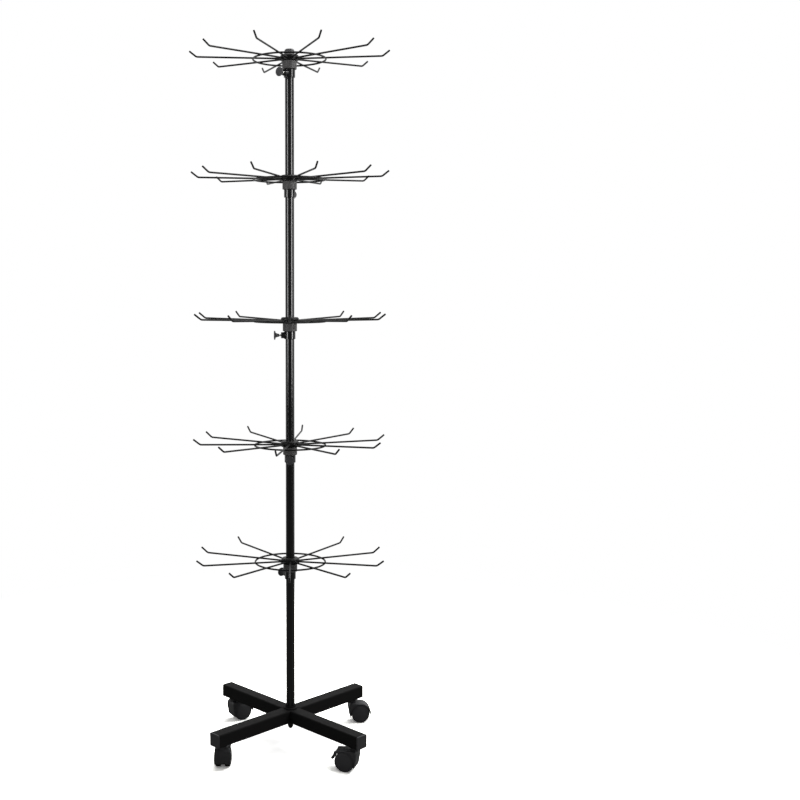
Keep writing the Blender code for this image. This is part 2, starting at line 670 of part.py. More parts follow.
def castor_stem():
    """The steel stem: a pin in the housing, a plate under the leg and a shank inside it."""
    plate_top = CASTOR_HEIGHT - GAP
    plate = plate_top - STEM_PLATE
    profile = [(0.0, plate - STEM_PIN), (STEM_PIN_RADIUS, plate - STEM_PIN), (STEM_PIN_RADIUS, plate),
               (STEM_PLATE_RADIUS, plate), (STEM_PLATE_RADIUS, plate_top), (STEM_SHANK_RADIUS, plate_top),
               (STEM_SHANK_RADIUS, plate_top + STEM_SHANK), (0.0, plate_top + STEM_SHANK)]
    return turned("castor_stem", profile, SMALL_STEPS)


def hood_outline(back, rounding):
    """Side view of the hood up to its shoulder; the rounding, from 0 to 1, draws its outer edge in."""
    outer = HOOD_OUTER - rounding * HOOD_ROUNDING
    drop = rounding * SHOULDER_ROUNDING
    top = SHOULDER - drop
    front = -HOUSING_NECK_RADIUS + drop / 2
    knee = top - HOOD_EDGE
    leading = arc(AXLE, outer, HOOD_FRONT, HOOD_FACE, 2)
    shoulder = [(front, (knee + WHEEL_RADIUS) / 2), (front, knee), (front + HOOD_EDGE / 2, top),
                (HOUSING_NECK_RADIUS * HOOD_FLAT - drop / 2, top)]
    trailing = arc(AXLE, outer, HOOD_SLOPE, back, 4)
    return leading + shoulder + trailing + arc(AXLE, HOOD_INNER, back, HOOD_FRONT, 10)


def barrel(height):
    """The hood's width at a height, as a share of its width at its middle."""
    middle = (SHOULDER + HOOD_CLEARANCE) / 2
    return 1.0 - HOOD_BARREL * ((height - middle) / (SHOULDER - middle)) ** 2


def castor_housing(braked):
    """The hood over the wheels, the web between them, and ears for a brake lever."""
    back = HOOD_BACK_BRAKED if braked else HOOD_BACK
    sides = [(HOOD_HALF_WIDTH - share * HOOD_EDGE, rounding) for share, rounding in HOOD_SIDE]
    sides = [(-width, rounding) for width, rounding in reversed(sides)] + sides
    rings = [[(x, y * barrel(z), z) for x, z in hood_outline(back, rounding)] for y, rounding in sides]
    name = "castor_housing_braked" if braked else "castor_housing"
    housing = lofted(name, rings)
    seat = HOOD_INNER + HOOD_WALL / 2
    web = arc(AXLE, seat, back, HOOD_FRONT, 10) + arc(AXLE, AXLE_BOSS, *WEB_FOOT, 4)
    neck = rod("neck", HOUSING_NECK_RADIUS, HOOD_INNER + WHEEL_RADIUS, HOUSING_TOP, ROUND_STEPS)
    housing = join(join(housing, slab("web", web, WEB_HALF_WIDTH)), neck)
    crosswise = Matrix.Translation((AXLE[0], 0, AXLE[1])) @ Matrix.Rotation(math.pi / 2, 4, "X")
    stem_bore, axle_bore = bore_round(STEM_PIN_RADIUS, SMALL_STEPS), bore_round(AXLE_RADIUS, PIN_STEPS)
    holes = [rod("stem_hole", stem_bore, HOUSING_TOP - STEM_PIN, CASTOR_HEIGHT, SMALL_STEPS),
             rod("axle_hole", axle_bore, -HOOD_HALF_WIDTH, HOOD_HALF_WIDTH, PIN_STEPS, crosswise)]
    if braked:
        housing = with_ears(housing)
    return cut(housing, merged("holes", holes))


def with_ears(housing):
    """Add the two ears that hold the brake lever's pins."""
    place_at = polar(AXLE, LEVER_PIVOT_REACH, LEVER_PIVOT_ANGLE)
    outside = LEVER_BARREL + EAR_WALL
    back = HOOD_BACK_BRAKED
    seat = HOOD_INNER + HOOD_WALL / 2
    nose = [LEVER_PIVOT_ANGLE + angle for angle in EAR_NOSE]
    ear = [polar(AXLE, HOOD_INNER + GAP, back + EAR_ROOT), polar(AXLE, HOOD_INNER + GAP, back - EAR_TOE)]
    ear += arc(place_at, outside, *nose, 6)
    ear += [polar(AXLE, HOOD_OUTER - GAP, back + EAR_ROOT), polar(AXLE, seat, back + EAR_ROOT)]
    housing = join(housing, slab("ears", ear, LEVER_HALF_WIDTH + GAP + EAR_THICKNESS))
    slot = arc(place_at, outside + GAP, 0, 360 - 360 / SMALL_STEPS, SMALL_STEPS - 1)
    housing = cut(housing, slab("slot", slot, LEVER_HALF_WIDTH + GAP))
    pin = Matrix.Translation((place_at[0], 0, place_at[1])) @ Matrix.Rotation(math.pi / 2, 4, "X")
    pin_bore = bore_round(LEVER_PIN_RADIUS, PIN_STEPS)
    return cut(housing, rod("pin_hole", pin_bore, -CASTOR_HEIGHT, CASTOR_HEIGHT, PIN_STEPS, pin))


def castor_axle():
    """The steel axle along Z."""
    return rod("castor_axle", AXLE_RADIUS, -AXLE_HALF_LENGTH, AXLE_HALF_LENGTH, PIN_STEPS)


def castor_wheel():
    """A solid wheel whose outer face swells out, with a blind bore from its inner face, along +Z."""
    bore = AXLE_RADIUS + GAP
    inner = WHEEL_INNER
    rim = WHEEL_RADIUS - TREAD_EDGE
    end = AXLE_HALF_LENGTH + GAP
    profile = [(0.0, end), (bore, end), (bore, inner), (rim, inner), (WHEEL_RADIUS, inner + TREAD_EDGE)]
    profile += dome(WHEEL_RADIUS, inner + TREAD_WIDTH, WHEEL_DOME, 4)
    return turned("castor_wheel", profile, WHEEL_STEPS, flat_down=True)


def brake_lever():
    """The lever about its pivot, which is its origin: a barrel with pins, a shoe and a lip for the foot."""
    axle = Vector(AXLE) - Vector(polar(AXLE, LEVER_PIVOT_REACH, LEVER_PIVOT_ANGLE))
    shoe = WHEEL_RADIUS + LEVER_SHOE_CLEARANCE
    outer = shoe + LEVER_THICKNESS
    start, end = LEVER_PIVOT_ANGLE, LEVER_PIVOT_ANGLE - LEVER_LENGTH
    nose = [start + angle for angle in LEVER_NOSE]
    outline = arc(axle, shoe, start - LEVER_SHOE_START, end, 4)
    outline += [polar(axle, outer + LEVER_LIP, end), polar(axle, outer + LEVER_LIP, end + LEVER_LIP_WIDTH)]
    outline += [polar(axle, outer, end + 2 * LEVER_LIP_WIDTH), polar(axle, outer, start - LEVER_BACK_START)]
    outline += arc((0.0, 0.0), LEVER_BARREL, *nose, 6)
    lever = slab("brake_lever", outline, LEVER_HALF_WIDTH)
    ends = LEVER_HALF_WIDTH + GAP + EAR_THICKNESS
    sideways = Matrix.Rotation(math.radians(-start), 4, "Y") @ Matrix.Rotation(math.pi / 2, 4, "X")
    return join(lever, rod("pin", LEVER_PIN_RADIUS, -ends, ends, PIN_STEPS, sideways))


def build_castors():
    """Four twin-wheel castors, each swivelled its own way; two of them have brakes."""
    steel, plastic, tread = black_steel(), black_plastic(), wheel_plastic()
    stem, axle, wheel, lever = castor_stem(), castor_axle(), castor_wheel(), brake_lever()
    housings = {braked: castor_housing(braked) for braked in (True, False)}
    lever_at = polar(AXLE, LEVER_PIVOT_REACH, LEVER_PIVOT_ANGLE)
    for corner, turn in CORNERS.items():
        x, y = polar((0.0, 0.0), CASTOR_REACH, LEG_AZIMUTH + turn)
        swivel = pivot("swivel_" + corner, (x, y, 0.0), TRAIL_AZIMUTHS[corner])
        at_axle = (AXLE[0], 0.0, AXLE[1])
        place("castor_stem_" + corner, stem, steel, (x, y, 0.0))
        place("castor_housing_" + corner, housings[corner in BRAKED], plastic, parent=swivel)
        place("castor_axle_" + corner, axle, steel, at_axle, (90, 0, 0), swivel)
        place("castor_wheel_left_" + corner, wheel, tread, at_axle, (-90, 0, 0), swivel)
        place("castor_wheel_right_" + corner, wheel, tread, at_axle, (90, 0, 0), swivel)
        if corner in BRAKED:
            place("brake_lever_" + corner, lever, plastic, (lever_at[0], 0.0, lever_at[1]), parent=swivel)


clear_scene()
build_base()
build_pole()
build_tiers()
build_castors()
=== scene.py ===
"""Looks of the rotating storage rack, laid over its packed model.

Every piece that shows is made again with round surfaces and eased edges, in the place that the model's
joints and boxes give, and gets the finish of the real one. Lengths are in metres and angles in degrees.
"""
import json
import logging
import math
from dataclasses import dataclass
from enum import Enum
from functools import partial
from typing import Iterable, Mapping, Sequence

import bmesh
import bpy
from bpy.types import Material, Mesh, Node, NodeSocket, NodeTree, Object
from mathutils import Matrix, Vector


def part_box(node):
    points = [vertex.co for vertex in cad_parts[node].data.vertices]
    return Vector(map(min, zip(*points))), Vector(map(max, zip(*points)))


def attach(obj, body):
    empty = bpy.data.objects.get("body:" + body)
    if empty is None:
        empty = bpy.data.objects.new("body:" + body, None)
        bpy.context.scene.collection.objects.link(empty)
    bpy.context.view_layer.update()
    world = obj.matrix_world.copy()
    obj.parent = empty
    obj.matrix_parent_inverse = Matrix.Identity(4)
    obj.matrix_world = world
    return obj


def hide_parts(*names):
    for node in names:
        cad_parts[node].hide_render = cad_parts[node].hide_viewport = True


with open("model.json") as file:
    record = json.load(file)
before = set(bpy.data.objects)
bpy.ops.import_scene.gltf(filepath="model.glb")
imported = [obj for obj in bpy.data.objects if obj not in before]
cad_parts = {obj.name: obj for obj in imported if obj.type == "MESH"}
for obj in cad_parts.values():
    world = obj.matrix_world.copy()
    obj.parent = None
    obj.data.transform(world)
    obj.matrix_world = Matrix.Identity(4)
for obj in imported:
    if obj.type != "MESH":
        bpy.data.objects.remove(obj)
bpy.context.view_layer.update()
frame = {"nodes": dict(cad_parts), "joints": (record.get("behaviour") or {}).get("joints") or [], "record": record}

log = logging.getLogger("rack")

MM = 0.001
GAP = 0.3 * MM                      # the running and seating clearance of the whole rack
SMOOTH_ANGLE = math.radians(36.0)   # edges sharper than this stay crisp
POLE_STEPS = 96                     # steps of the pole and of what is bored for it
RING_STEPS = 90                     # steps of the hubs and tyres
ROUND = 72                          # steps of the other round pieces that show,
MEDIUM = 48                         # of smaller ones
FINE = 32                           # and of bores and bars
ON_AXIS = 1e-9                      # a radius below this is none
SHARE = 0.49                        # the share of a side that an easing may take
WELD = 1e-6                         # points this close are one after a cut or a join,
EASE_WELD = 1e-7                    # and after an easing
ALONG_X = Matrix.Rotation(math.pi / 2, 4, "Y")
ALONG_Y = Matrix.Rotation(-math.pi / 2, 4, "X")

Corner = tuple[float, ...]          # across and up, and the radius of a corner that is eased
Settings = Mapping[str, object]
Links = Mapping[str | int, object]
Source = Node | NodeSocket

LARGER = {"operation": "MAXIMUM"}
SMOOTH_STEP = {"interpolation_type": "SMOOTHSTEP"}
WHITE = (1.0, 1.0, 1.0, 1.0)


# Small helpers

def linear(code: str) -> tuple[float, float, float, float]:
    """Turn an sRGB hex colour into the linear colour that the shaders use.

    Args:
        code: The colour as "#rrggbb".

    Returns:
        Linear red, green and blue, and an alpha of one.
    """
    shares = [int(code[i:i + 2], 16) / 255 for i in (1, 3, 5)]
    red, green, blue = (s / 12.92 if s <= 0.04045 else ((s + 0.055) / 1.055) ** 2.4 for s in shares)
    return red, green, blue, 1.0


def fed(node: Node, inputs: Links) -> Node:
    """Give a node's inputs their values and links.

    Args:
        node: The node.
        inputs: For an input's name or number, a plain value, an output, a node for its first output, a list
            of these, or a vector that has one in it.

    Returns:
        The same node.
    """
    tree = node.id_data
    for key, value in inputs.items():
        for source in value if isinstance(value, list) else [value]:
            if isinstance(source, tuple) and any(isinstance(part, Source) for part in source):
                source = add_node(tree, "ShaderNodeCombineXYZ", inputs=dict(zip("XYZ", source)))
            if isinstance(source, Node):
                source = source.outputs[0]
            if isinstance(source, NodeSocket):
                tree.links.new(source, node.inputs[key])
            else:
                node.inputs[key].default_value = source
    return node


def add_node(tree: NodeTree, kind: str, settings: Settings | None = None,
             inputs: Links | None = None) -> Node:
    """Add a node to a tree with its settings and links.

    Args:
        tree: The tree that gets the node.
        kind: The node's type name.
        settings: Values of the node's own properties.
        inputs: What its inputs are fed with.

    Returns:
        The new node.
    """
    node = tree.nodes.new(kind)
    for name, value in (settings or {}).items():
        setattr(node, name, value)
    return fed(node, inputs or {})


def polar(radius: float, degrees: float, x: float = 0.0, y: float = 0.0) -> tuple[float, float]:
    """Give the point at a radius and an angle round (x, y)."""
    angle = math.radians(degrees)
    return x + radius * math.cos(angle), y + radius * math.sin(angle)


def arc(radius: float, start: float, stop: float, steps: int, x: float = 0.0, y: float = 0.0) -> list[Corner]:
    """Give the points of an arc round (x, y), both ends included."""
    return [polar(radius, start + (stop - start) * i / steps, x, y) for i in range(steps + 1)]


def eased(corners: Sequence[Corner], closed: bool = True, steps: int = 4) -> list[Corner]:
    """Round the corners of an outline by their own radii, each within half of the sides next to it.

    Args:
        corners: The outline's corners in order.
        closed: Whether the last corner joins the first.
        steps: The number of short sides that stand for each rounding.

    Returns:
        The points of the eased outline, or the corners themselves where none is eased.
    """
    if all(len(corner) == 2 for corner in corners):
        return list(corners)
    points: list[Corner] = []
    count = len(corners)
    for i, corner in enumerate(corners):
        x, y, ease = (*corner, 0.0)[:3]
        here = Vector((x, y))
        if ease <= 0.0 or (not closed and i in (0, count - 1)):
            points.append(tuple(here))
            continue
        before = Vector(corners[i - 1][:2]) - here
        after = Vector(corners[(i + 1) % count][:2]) - here
        half = before.angle(after) / 2
        reach = min(ease / math.tan(half), SHARE * before.length, SHARE * after.length)
        start = here + before.normalized() * reach
        out = (before.normalized() + after.normalized()).normalized()
        centre = here + out * (reach * math.tan(half)) / math.sin(half)
        turn = (here + after.normalized() * reach - centre).angle_signed(start - centre)
        for k in range(steps + 1):
            spoke = Matrix.Rotation(turn * k / steps, 2) @ (start - centre)
            points.append((centre.x + spoke.x, centre.y + spoke.y))
    return points


# Mesh building

def finished(name: str, bm: bmesh.types.BMesh) -> Mesh:
    """Write a shape into a new mesh with its faces outwards, round sides smooth and corners crisp.

    Args:
        name: The mesh's name.
        bm: The shape, used up.

    Returns:
        The new mesh.
    """
    bmesh.ops.recalc_face_normals(bm, faces=bm.faces)
    mesh = bpy.data.meshes.new(name)
    bm.to_mesh(mesh)
    bm.free()
    return shaded(mesh)


def shaded(mesh: Mesh) -> Mesh:
    """Shade a mesh smooth up to the angle at which an edge is crisp.

    Args:
        mesh: The mesh.

    Returns:
        The same mesh.
    """
    mesh.shade_smooth()
    mesh.set_sharp_from_angle(angle=SMOOTH_ANGLE)
    return mesh


def turned(name: str, corners: Sequence[Corner], steps: int = ROUND, closed: bool = False,
           ease_steps: int = 4) -> Mesh:
    """Turn a profile of (radius, height) corners round Z.

    Args:
        name: The mesh's name.
        corners: The profile, from axis to axis, or round a ring's section.
        steps: The number of steps round the axis.
        closed: Whether the profile is the closed section of a ring.
        ease_steps: The number of short sides in each easing.

    Returns:
        A closed mesh.
    """
    bm = bmesh.new()
    rows = []
    for radius, height in eased(corners, closed, ease_steps):
        if radius < ON_AXIS:
            rows.append([bm.verts.new((0.0, 0.0, height))] * steps)
        else:
            rows.append([bm.verts.new((*polar(radius, 360 * i / steps), height)) for i in range(steps)])
    pairs = list(zip(rows, rows[1:]))
    if closed:
        pairs.append((rows[-1], rows[0]))
    for low, high in pairs:
        for i in range(steps):
            j = (i + 1) % steps
            face = list(dict.fromkeys((low[i], low[j], high[j], high[i])))
            if len(face) > 2:
                bm.faces.new(face)
    return finished(name, bm)


def lofted(name: str, rings: Sequence[Sequence[tuple[float, float, float]]]) -> Mesh:
    """Join rings into a skin, and close both ends.

    Args:
        name: The mesh's name.
        rings: The rings, each of equally many points.

    Returns:
        A closed mesh.
    """
    bm = bmesh.new()
    rows = [[bm.verts.new(point) for point in ring] for ring in rings]
    for low, high in zip(rows, rows[1:]):
        for i in range(len(low)):
            j = (i + 1) % len(low)
            bm.faces.new((low[i], low[j], high[j], high[i]))
    bm.faces.new(rows[0])
    bm.faces.new(rows[-1])
    return finished(name, bm)


def slab(name: str, outline: Sequence[Corner], half_width: float) -> Mesh:
    """Stretch an outline of (x, z) corners to both sides along Y."""
    return lofted(name, [[(x, y, z) for x, z in eased(outline)] for y in (-half_width, half_width)])


def rod(radius: float, low: float, high: float, steps: int = FINE, matrix: Matrix = Matrix()) -> Mesh:
    """Make a plain round bar to cut or join with, along Z or along Z turned by a matrix.

    Args:
        radius: The bar's radius.
        low: Where it starts.
        high: Where it ends.
        steps: The number of its sides.
        matrix: Its place.

    Returns:
        The bar.
    """
    mesh = turned("rod", [(0.0, low), (radius, low), (radius, high), (0.0, high)], steps)
    mesh.transform(matrix)
    return mesh


def shown(mesh: Mesh) -> Object:
    """Link a mesh to the scene as an object.

    Args:
        mesh: The mesh.

    Returns:
        The object.
    """
    thing = bpy.data.objects.new(mesh.name, mesh)
    bpy.context.scene.collection.objects.link(thing)
    return thing


def modified(mesh: Mesh, kind: str, settings: Settings, inputs: Settings | None = None) -> Mesh:
    """Work one modifier into a mesh.

    Args:
        mesh: The shape.
        kind: The modifier's type name.
        settings: Values of the modifier's properties.
        inputs: A value for each input of its node tree, by identifier.

    Returns:
        A new mesh with nothing live in it.
    """
    thing = shown(mesh)
    modifier = thing.modifiers.new(kind.lower(), kind)
    for name, value in settings.items():
        setattr(modifier, name, value)
    for identifier, value in (inputs or {}).items():
        modifier[identifier] = value
    bpy.context.view_layer.update()
    depsgraph = bpy.context.evaluated_depsgraph_get()
    result = bpy.data.meshes.new_from_object(thing.evaluated_get(depsgraph), depsgraph=depsgraph)
    bpy.data.objects.remove(thing, do_unlink=True)
    result.name = mesh.name
    return result


def opened(mesh: Mesh, weld: float) -> bmesh.types.BMesh:
    """Open a mesh for work, with the points that lie together joined.

    Args:
        mesh: The mesh.
        weld: How close such points are.

    Returns:
        The opened shape.
    """
    bm = bmesh.new()
    bm.from_mesh(mesh)
    bmesh.ops.remove_doubles(bm, verts=bm.verts, dist=weld)
    return bm


class Joining(Enum):
    """What is done with another shape."""

    ADD = "UNION"
    CUT = "DIFFERENCE"
    KEEP_COMMON = "INTERSECT"


def combined(mesh: Mesh, how: Joining, *others: Mesh) -> Mesh:
    """Add other shapes to a mesh, cut them away, or keep what both share, one after the other.

    Args:
        mesh: The main shape.
        how: What is done with the others.
        others: The other shapes.

    Returns:
        The resulting mesh. All inputs are used up.
    """
    for other in others:
        tool = shown(other)
        result = modified(mesh, "BOOLEAN", {"operation": how.value, "solver": "EXACT", "object": tool})
        bpy.data.objects.remove(tool, do_unlink=True)
        bm = opened(result, WELD)
        bmesh.ops.dissolve_degenerate(bm, edges=bm.edges, dist=WELD)
        mesh = finished(mesh.name, bm)
    return mesh


def softened(mesh: Mesh, width: float, segments: int, angle: float) -> Mesh:
    """Ease the sharp edges of a mesh.

    Args:
        mesh: The shape, which is used up.
        width: The width of the easing.
        segments: The number of strips across it.
        angle: The least angle of an edge that is eased.

    Returns:
        The eased mesh.
    """
    result = modified(mesh, "BEVEL", {"width": width, "segments": segments, "limit_method": "ANGLE",
                                      "angle_limit": math.radians(angle)})
    return finished(mesh.name, opened(result, EASE_WELD))


def evened(mesh: Mesh) -> Mesh:
    """Let the large faces of a mesh set its shading, so that a flat or a straight tube reflects as one."""
    return modified(mesh, "WEIGHTED_NORMAL", {"keep_sharp": True})


def gathered(name: str, meshes: Iterable[Mesh]) -> Mesh:
    """Put several closed shapes into one mesh.

    Args:
        name: The new mesh's name.
        meshes: The shapes, used up.

    Returns:
        The new mesh.
    """
    bm = bmesh.new()
    for mesh in meshes:
        bm.from_mesh(mesh)
        bpy.data.meshes.remove(mesh)
    return finished(name, bm)


def path_mesh(name: str, points: Sequence[Vector], closed: bool = False) -> Mesh:
    """Make a mesh of edges alone.

    Args:
        name: The mesh's name.
        points: The points that the edges run through.
        closed: Whether the last point joins the first.

    Returns:
        The mesh.
    """
    count = len(points)
    edges = [(i, (i + 1) % count) for i in range(count if closed else count - 1)]
    mesh = bpy.data.meshes.new(name)
    mesh.from_pydata([tuple(point) for point in points], edges, [])
    return mesh


# Trees that make what repeats or follows a path

class PieceTree:
    """A Geometry Nodes tree that grows one kind of piece on a mesh from named sizes."""

    name = "piece"
    counts: tuple[str, ...] = ()
    sizes: tuple[str, ...] = ()
    lump_segments = 14
    lump_rings = 8

    def __init__(self) -> None:
        """Build the tree with its named inputs."""
        self.tree = bpy.data.node_groups.new(self.name, "GeometryNodeTree")
        self.add = partial(add_node, self.tree)
        kinds = {"Geometry": "Geometry", **dict.fromkeys(self.counts, "Int"),
                 **dict.fromkeys(self.sizes, "Float"), "Finish": "Material"}
        new_socket = self.tree.interface.new_socket
        self.identifiers = {
            label: new_socket(label, in_out="INPUT", socket_type="NodeSocket" + kind).identifier
            for label, kind in kinds.items()}
        new_socket("Geometry", in_out="OUTPUT", socket_type="NodeSocketGeometry")
        self.given = self.add("NodeGroupInput").outputs
        real = self.add("GeometryNodeRealizeInstances", inputs={"Geometry": self.shape()})
        dressed = self.add("GeometryNodeSetMaterial", inputs={
            "Geometry": real, "Material": self.given["Finish"]})
        self.add("NodeGroupOutput", inputs={"Geometry": dressed})

    def shape(self) -> Source:
        """Add the nodes that make the piece, and give the last."""
        return self.given["Geometry"]

    def tube(self, curve: Source, radius: Source, sides: Source | int) -> Node:
        """Add a closed tube along a curve.

        Args:
            curve: The curve.
            radius: The tube's radius.
            sides: The number of its sides.

        Returns:
            The node that holds it.
        """
        section = self.add("GeometryNodeCurvePrimitiveCircle", inputs={
            "Resolution": sides, "Radius": radius})
        return self.add("GeometryNodeCurveToMesh", inputs={
            "Curve": curve, "Profile Curve": section, "Fill Caps": True})

    def lump(self, place: tuple, half_sizes: tuple, turn: tuple = (0.0, 0.0, 0.0)) -> Node:
        """Add a rounded lump.

        Args:
            place: Where its middle is.
            half_sizes: Its three half sizes.
            turn: Its turns round X, Y and Z, in radians.

        Returns:
            The node that holds it.
        """
        ball = self.add("GeometryNodeMeshUVSphere", inputs={
            "Segments": self.lump_segments, "Rings": self.lump_rings, "Radius": 1.0})
        facing = self.add("FunctionNodeEulerToRotation", inputs={"Euler": turn})
        return self.add("GeometryNodeTransform", inputs={
            "Geometry": ball, "Translation": place, "Rotation": facing, "Scale": half_sizes})

    def ring_of(self, shape: Source, count: Source, first: Source | float, step: Source) -> Node:
        """Add copies of a shape round Z.

        Args:
            shape: The shape at angle zero.
            count: How many copies there are.
            first: The angle of the first one, in radians.
            step: The angle from each to the next, in radians.

        Returns:
            The node with the copies.
        """
        points = self.add("GeometryNodePoints", inputs={"Count": count})
        index = self.add("GeometryNodeInputIndex")
        turn = self.add("ShaderNodeMath", {"operation": "MULTIPLY_ADD"}, {0: index, 1: step, 2: first})
        facing = self.add("FunctionNodeEulerToRotation", inputs={"Euler": (0.0, 0.0, turn)})
        return self.add("GeometryNodeInstanceOnPoints", inputs={
            "Points": points, "Instance": shape, "Rotation": facing})

    def grow(self, mesh: Mesh, finish: Material, values: Mapping[str, float | int]) -> Mesh:
        """Grow the piece on a mesh.

        Args:
            mesh: What the tree starts from, used up.
            finish: The material of the whole piece.
            values: A value for each named size and count.

        Returns:
            A mesh with nothing live in it.
        """
        given = {self.identifiers[label]: value for label, value in {**values, "Finish": finish}.items()}
        return shaded(modified(mesh, "NODES", {"node_group": self.tree}, given))


class HookWheelTree(PieceTree):
    """Hooks of bent wire round a hub, on a support ring, with their welds."""

    name = "hooks_round_a_hub"
    counts = ("Wires",)
    sizes = ("Wire Radius", "Start Reach", "Hub Radius", "Bend Radius", "Bend Reach", "Bend Height",
             "Tip Reach", "Tip Height", "Tip Ease", "Tip Angle", "Ring Radius", "Ring Height", "Bead Reach",
             "Bead Radius", "Weld Spread")
    bend_steps = 8
    wire_sides = 16
    ring_steps = 120
    ring_sides = 14

    def shape(self) -> Node:
        """Add the wires with their bends, tips and welds, and the ring under them.

        Returns:
            The node that holds them with the hub.
        """
        size = self.given
        thick = size["Wire Radius"]
        run = [(size["Start Reach"], 0.0, 0.0), (size["Hub Radius"], 0.0, 0.0),
               (size["Bend Reach"], 0.0, size["Bend Height"]), (size["Tip Reach"], 0.0, size["Tip Height"])]
        corner = self.add("GeometryNodeIndexSwitch", {"data_type": "VECTOR"})
        while len(corner.index_switch_items) < len(run):
            corner.index_switch_items.new()
        fed(corner, {"Index": self.add("GeometryNodeInputIndex")})
        fed(corner, {str(i): end for i, end in enumerate(run)})
        line = self.add("GeometryNodeMeshLine", inputs={"Count": len(run)})
        bent = self.add("GeometryNodeSetPosition", inputs={"Geometry": line, "Position": corner})
        curve = self.add("GeometryNodeMeshToCurve", inputs={"Mesh": bent})
        curve = self.add("GeometryNodeFilletCurve", {"mode": "POLY"}, {
            "Curve": curve, "Count": self.bend_steps, "Radius": size["Bend Radius"], "Limit Radius": True})
        level = self.add("ShaderNodeMath", {"operation": "ADD"}, {0: thick, 1: size["Ring Height"]})
        spread = size["Weld Spread"]
        bead = size["Bead Radius"]
        hook = self.add("GeometryNodeJoinGeometry", inputs={"Geometry": [
            self.tube(curve, thick, self.wire_sides),
            self.lump(run[3], (size["Tip Ease"], thick, thick), (0.0, size["Tip Angle"], 0.0)),
            self.lump(run[1], (size["Bead Reach"], bead, bead)),
            self.lump((size["Ring Radius"], 0.0, level), (spread, spread, thick))]})
        step = self.add("ShaderNodeMath", {"operation": "DIVIDE"}, {0: 2 * math.pi, 1: size["Wires"]})
        hooks = self.ring_of(hook, size["Wires"], 0.0, step)
        circle = self.add("GeometryNodeCurvePrimitiveCircle", inputs={
            "Resolution": self.ring_steps, "Radius": size["Ring Radius"]})
        ring = self.add("GeometryNodeTransform", inputs={
            "Geometry": self.tube(circle, thick, self.ring_sides),
            "Translation": (0.0, 0.0, size["Ring Height"])})
        return self.add("GeometryNodeJoinGeometry", inputs={"Geometry": [size["Geometry"], hooks, ring]})


class RibTree(PieceTree):
    """Rounded ribs along Z, side by side on an arc round it."""

    name = "ribs_on_an_arc"
    counts = ("Ribs",)
    sizes = ("Arc Radius", "Arc Height", "First Angle", "Step Angle", "Rib Radius", "Rib Half Length")

    def shape(self) -> Node:
        """Add the ribs to the mesh that the tree starts from.

        Returns:
            The node that holds both.
        """
        size = self.given
        rib = self.lump((size["Arc Radius"], 0.0, size["Arc Height"]),
                        (size["Rib Radius"], size["Rib Radius"], size["Rib Half Length"]))
        ribs = self.ring_of(rib, size["Ribs"], size["First Angle"], size["Step Angle"])
        return self.add("GeometryNodeJoinGeometry", inputs={"Geometry": [size["Geometry"], ribs]})


class PathTree(PieceTree):
    """A tube along a path of points: a thread's ridge or a weld bead."""

    name = "tube_on_a_path"
    counts = ("Sides",)
    sizes = ("Radius",)

    def shape(self) -> Node:
        """Add the tube, whose path is the mesh that the tree starts from."""
        curve = self.add("GeometryNodeMeshToCurve", inputs={"Mesh": self.given["Geometry"]})
        return self.tube(curve, self.given["Radius"], self.given["Sides"])


# Finishes

class Surface(Enum):
    """How a surface was made, which sets the pattern of its relief."""

    SPRAYED = "soft waves of wet paint"
    POWDERED = "melted powder, with a fine orange skin"
    MOULDED = "the fine pits of a spark-eroded mould"
    PLATED = "a thin coat of metal over a drawn bar"


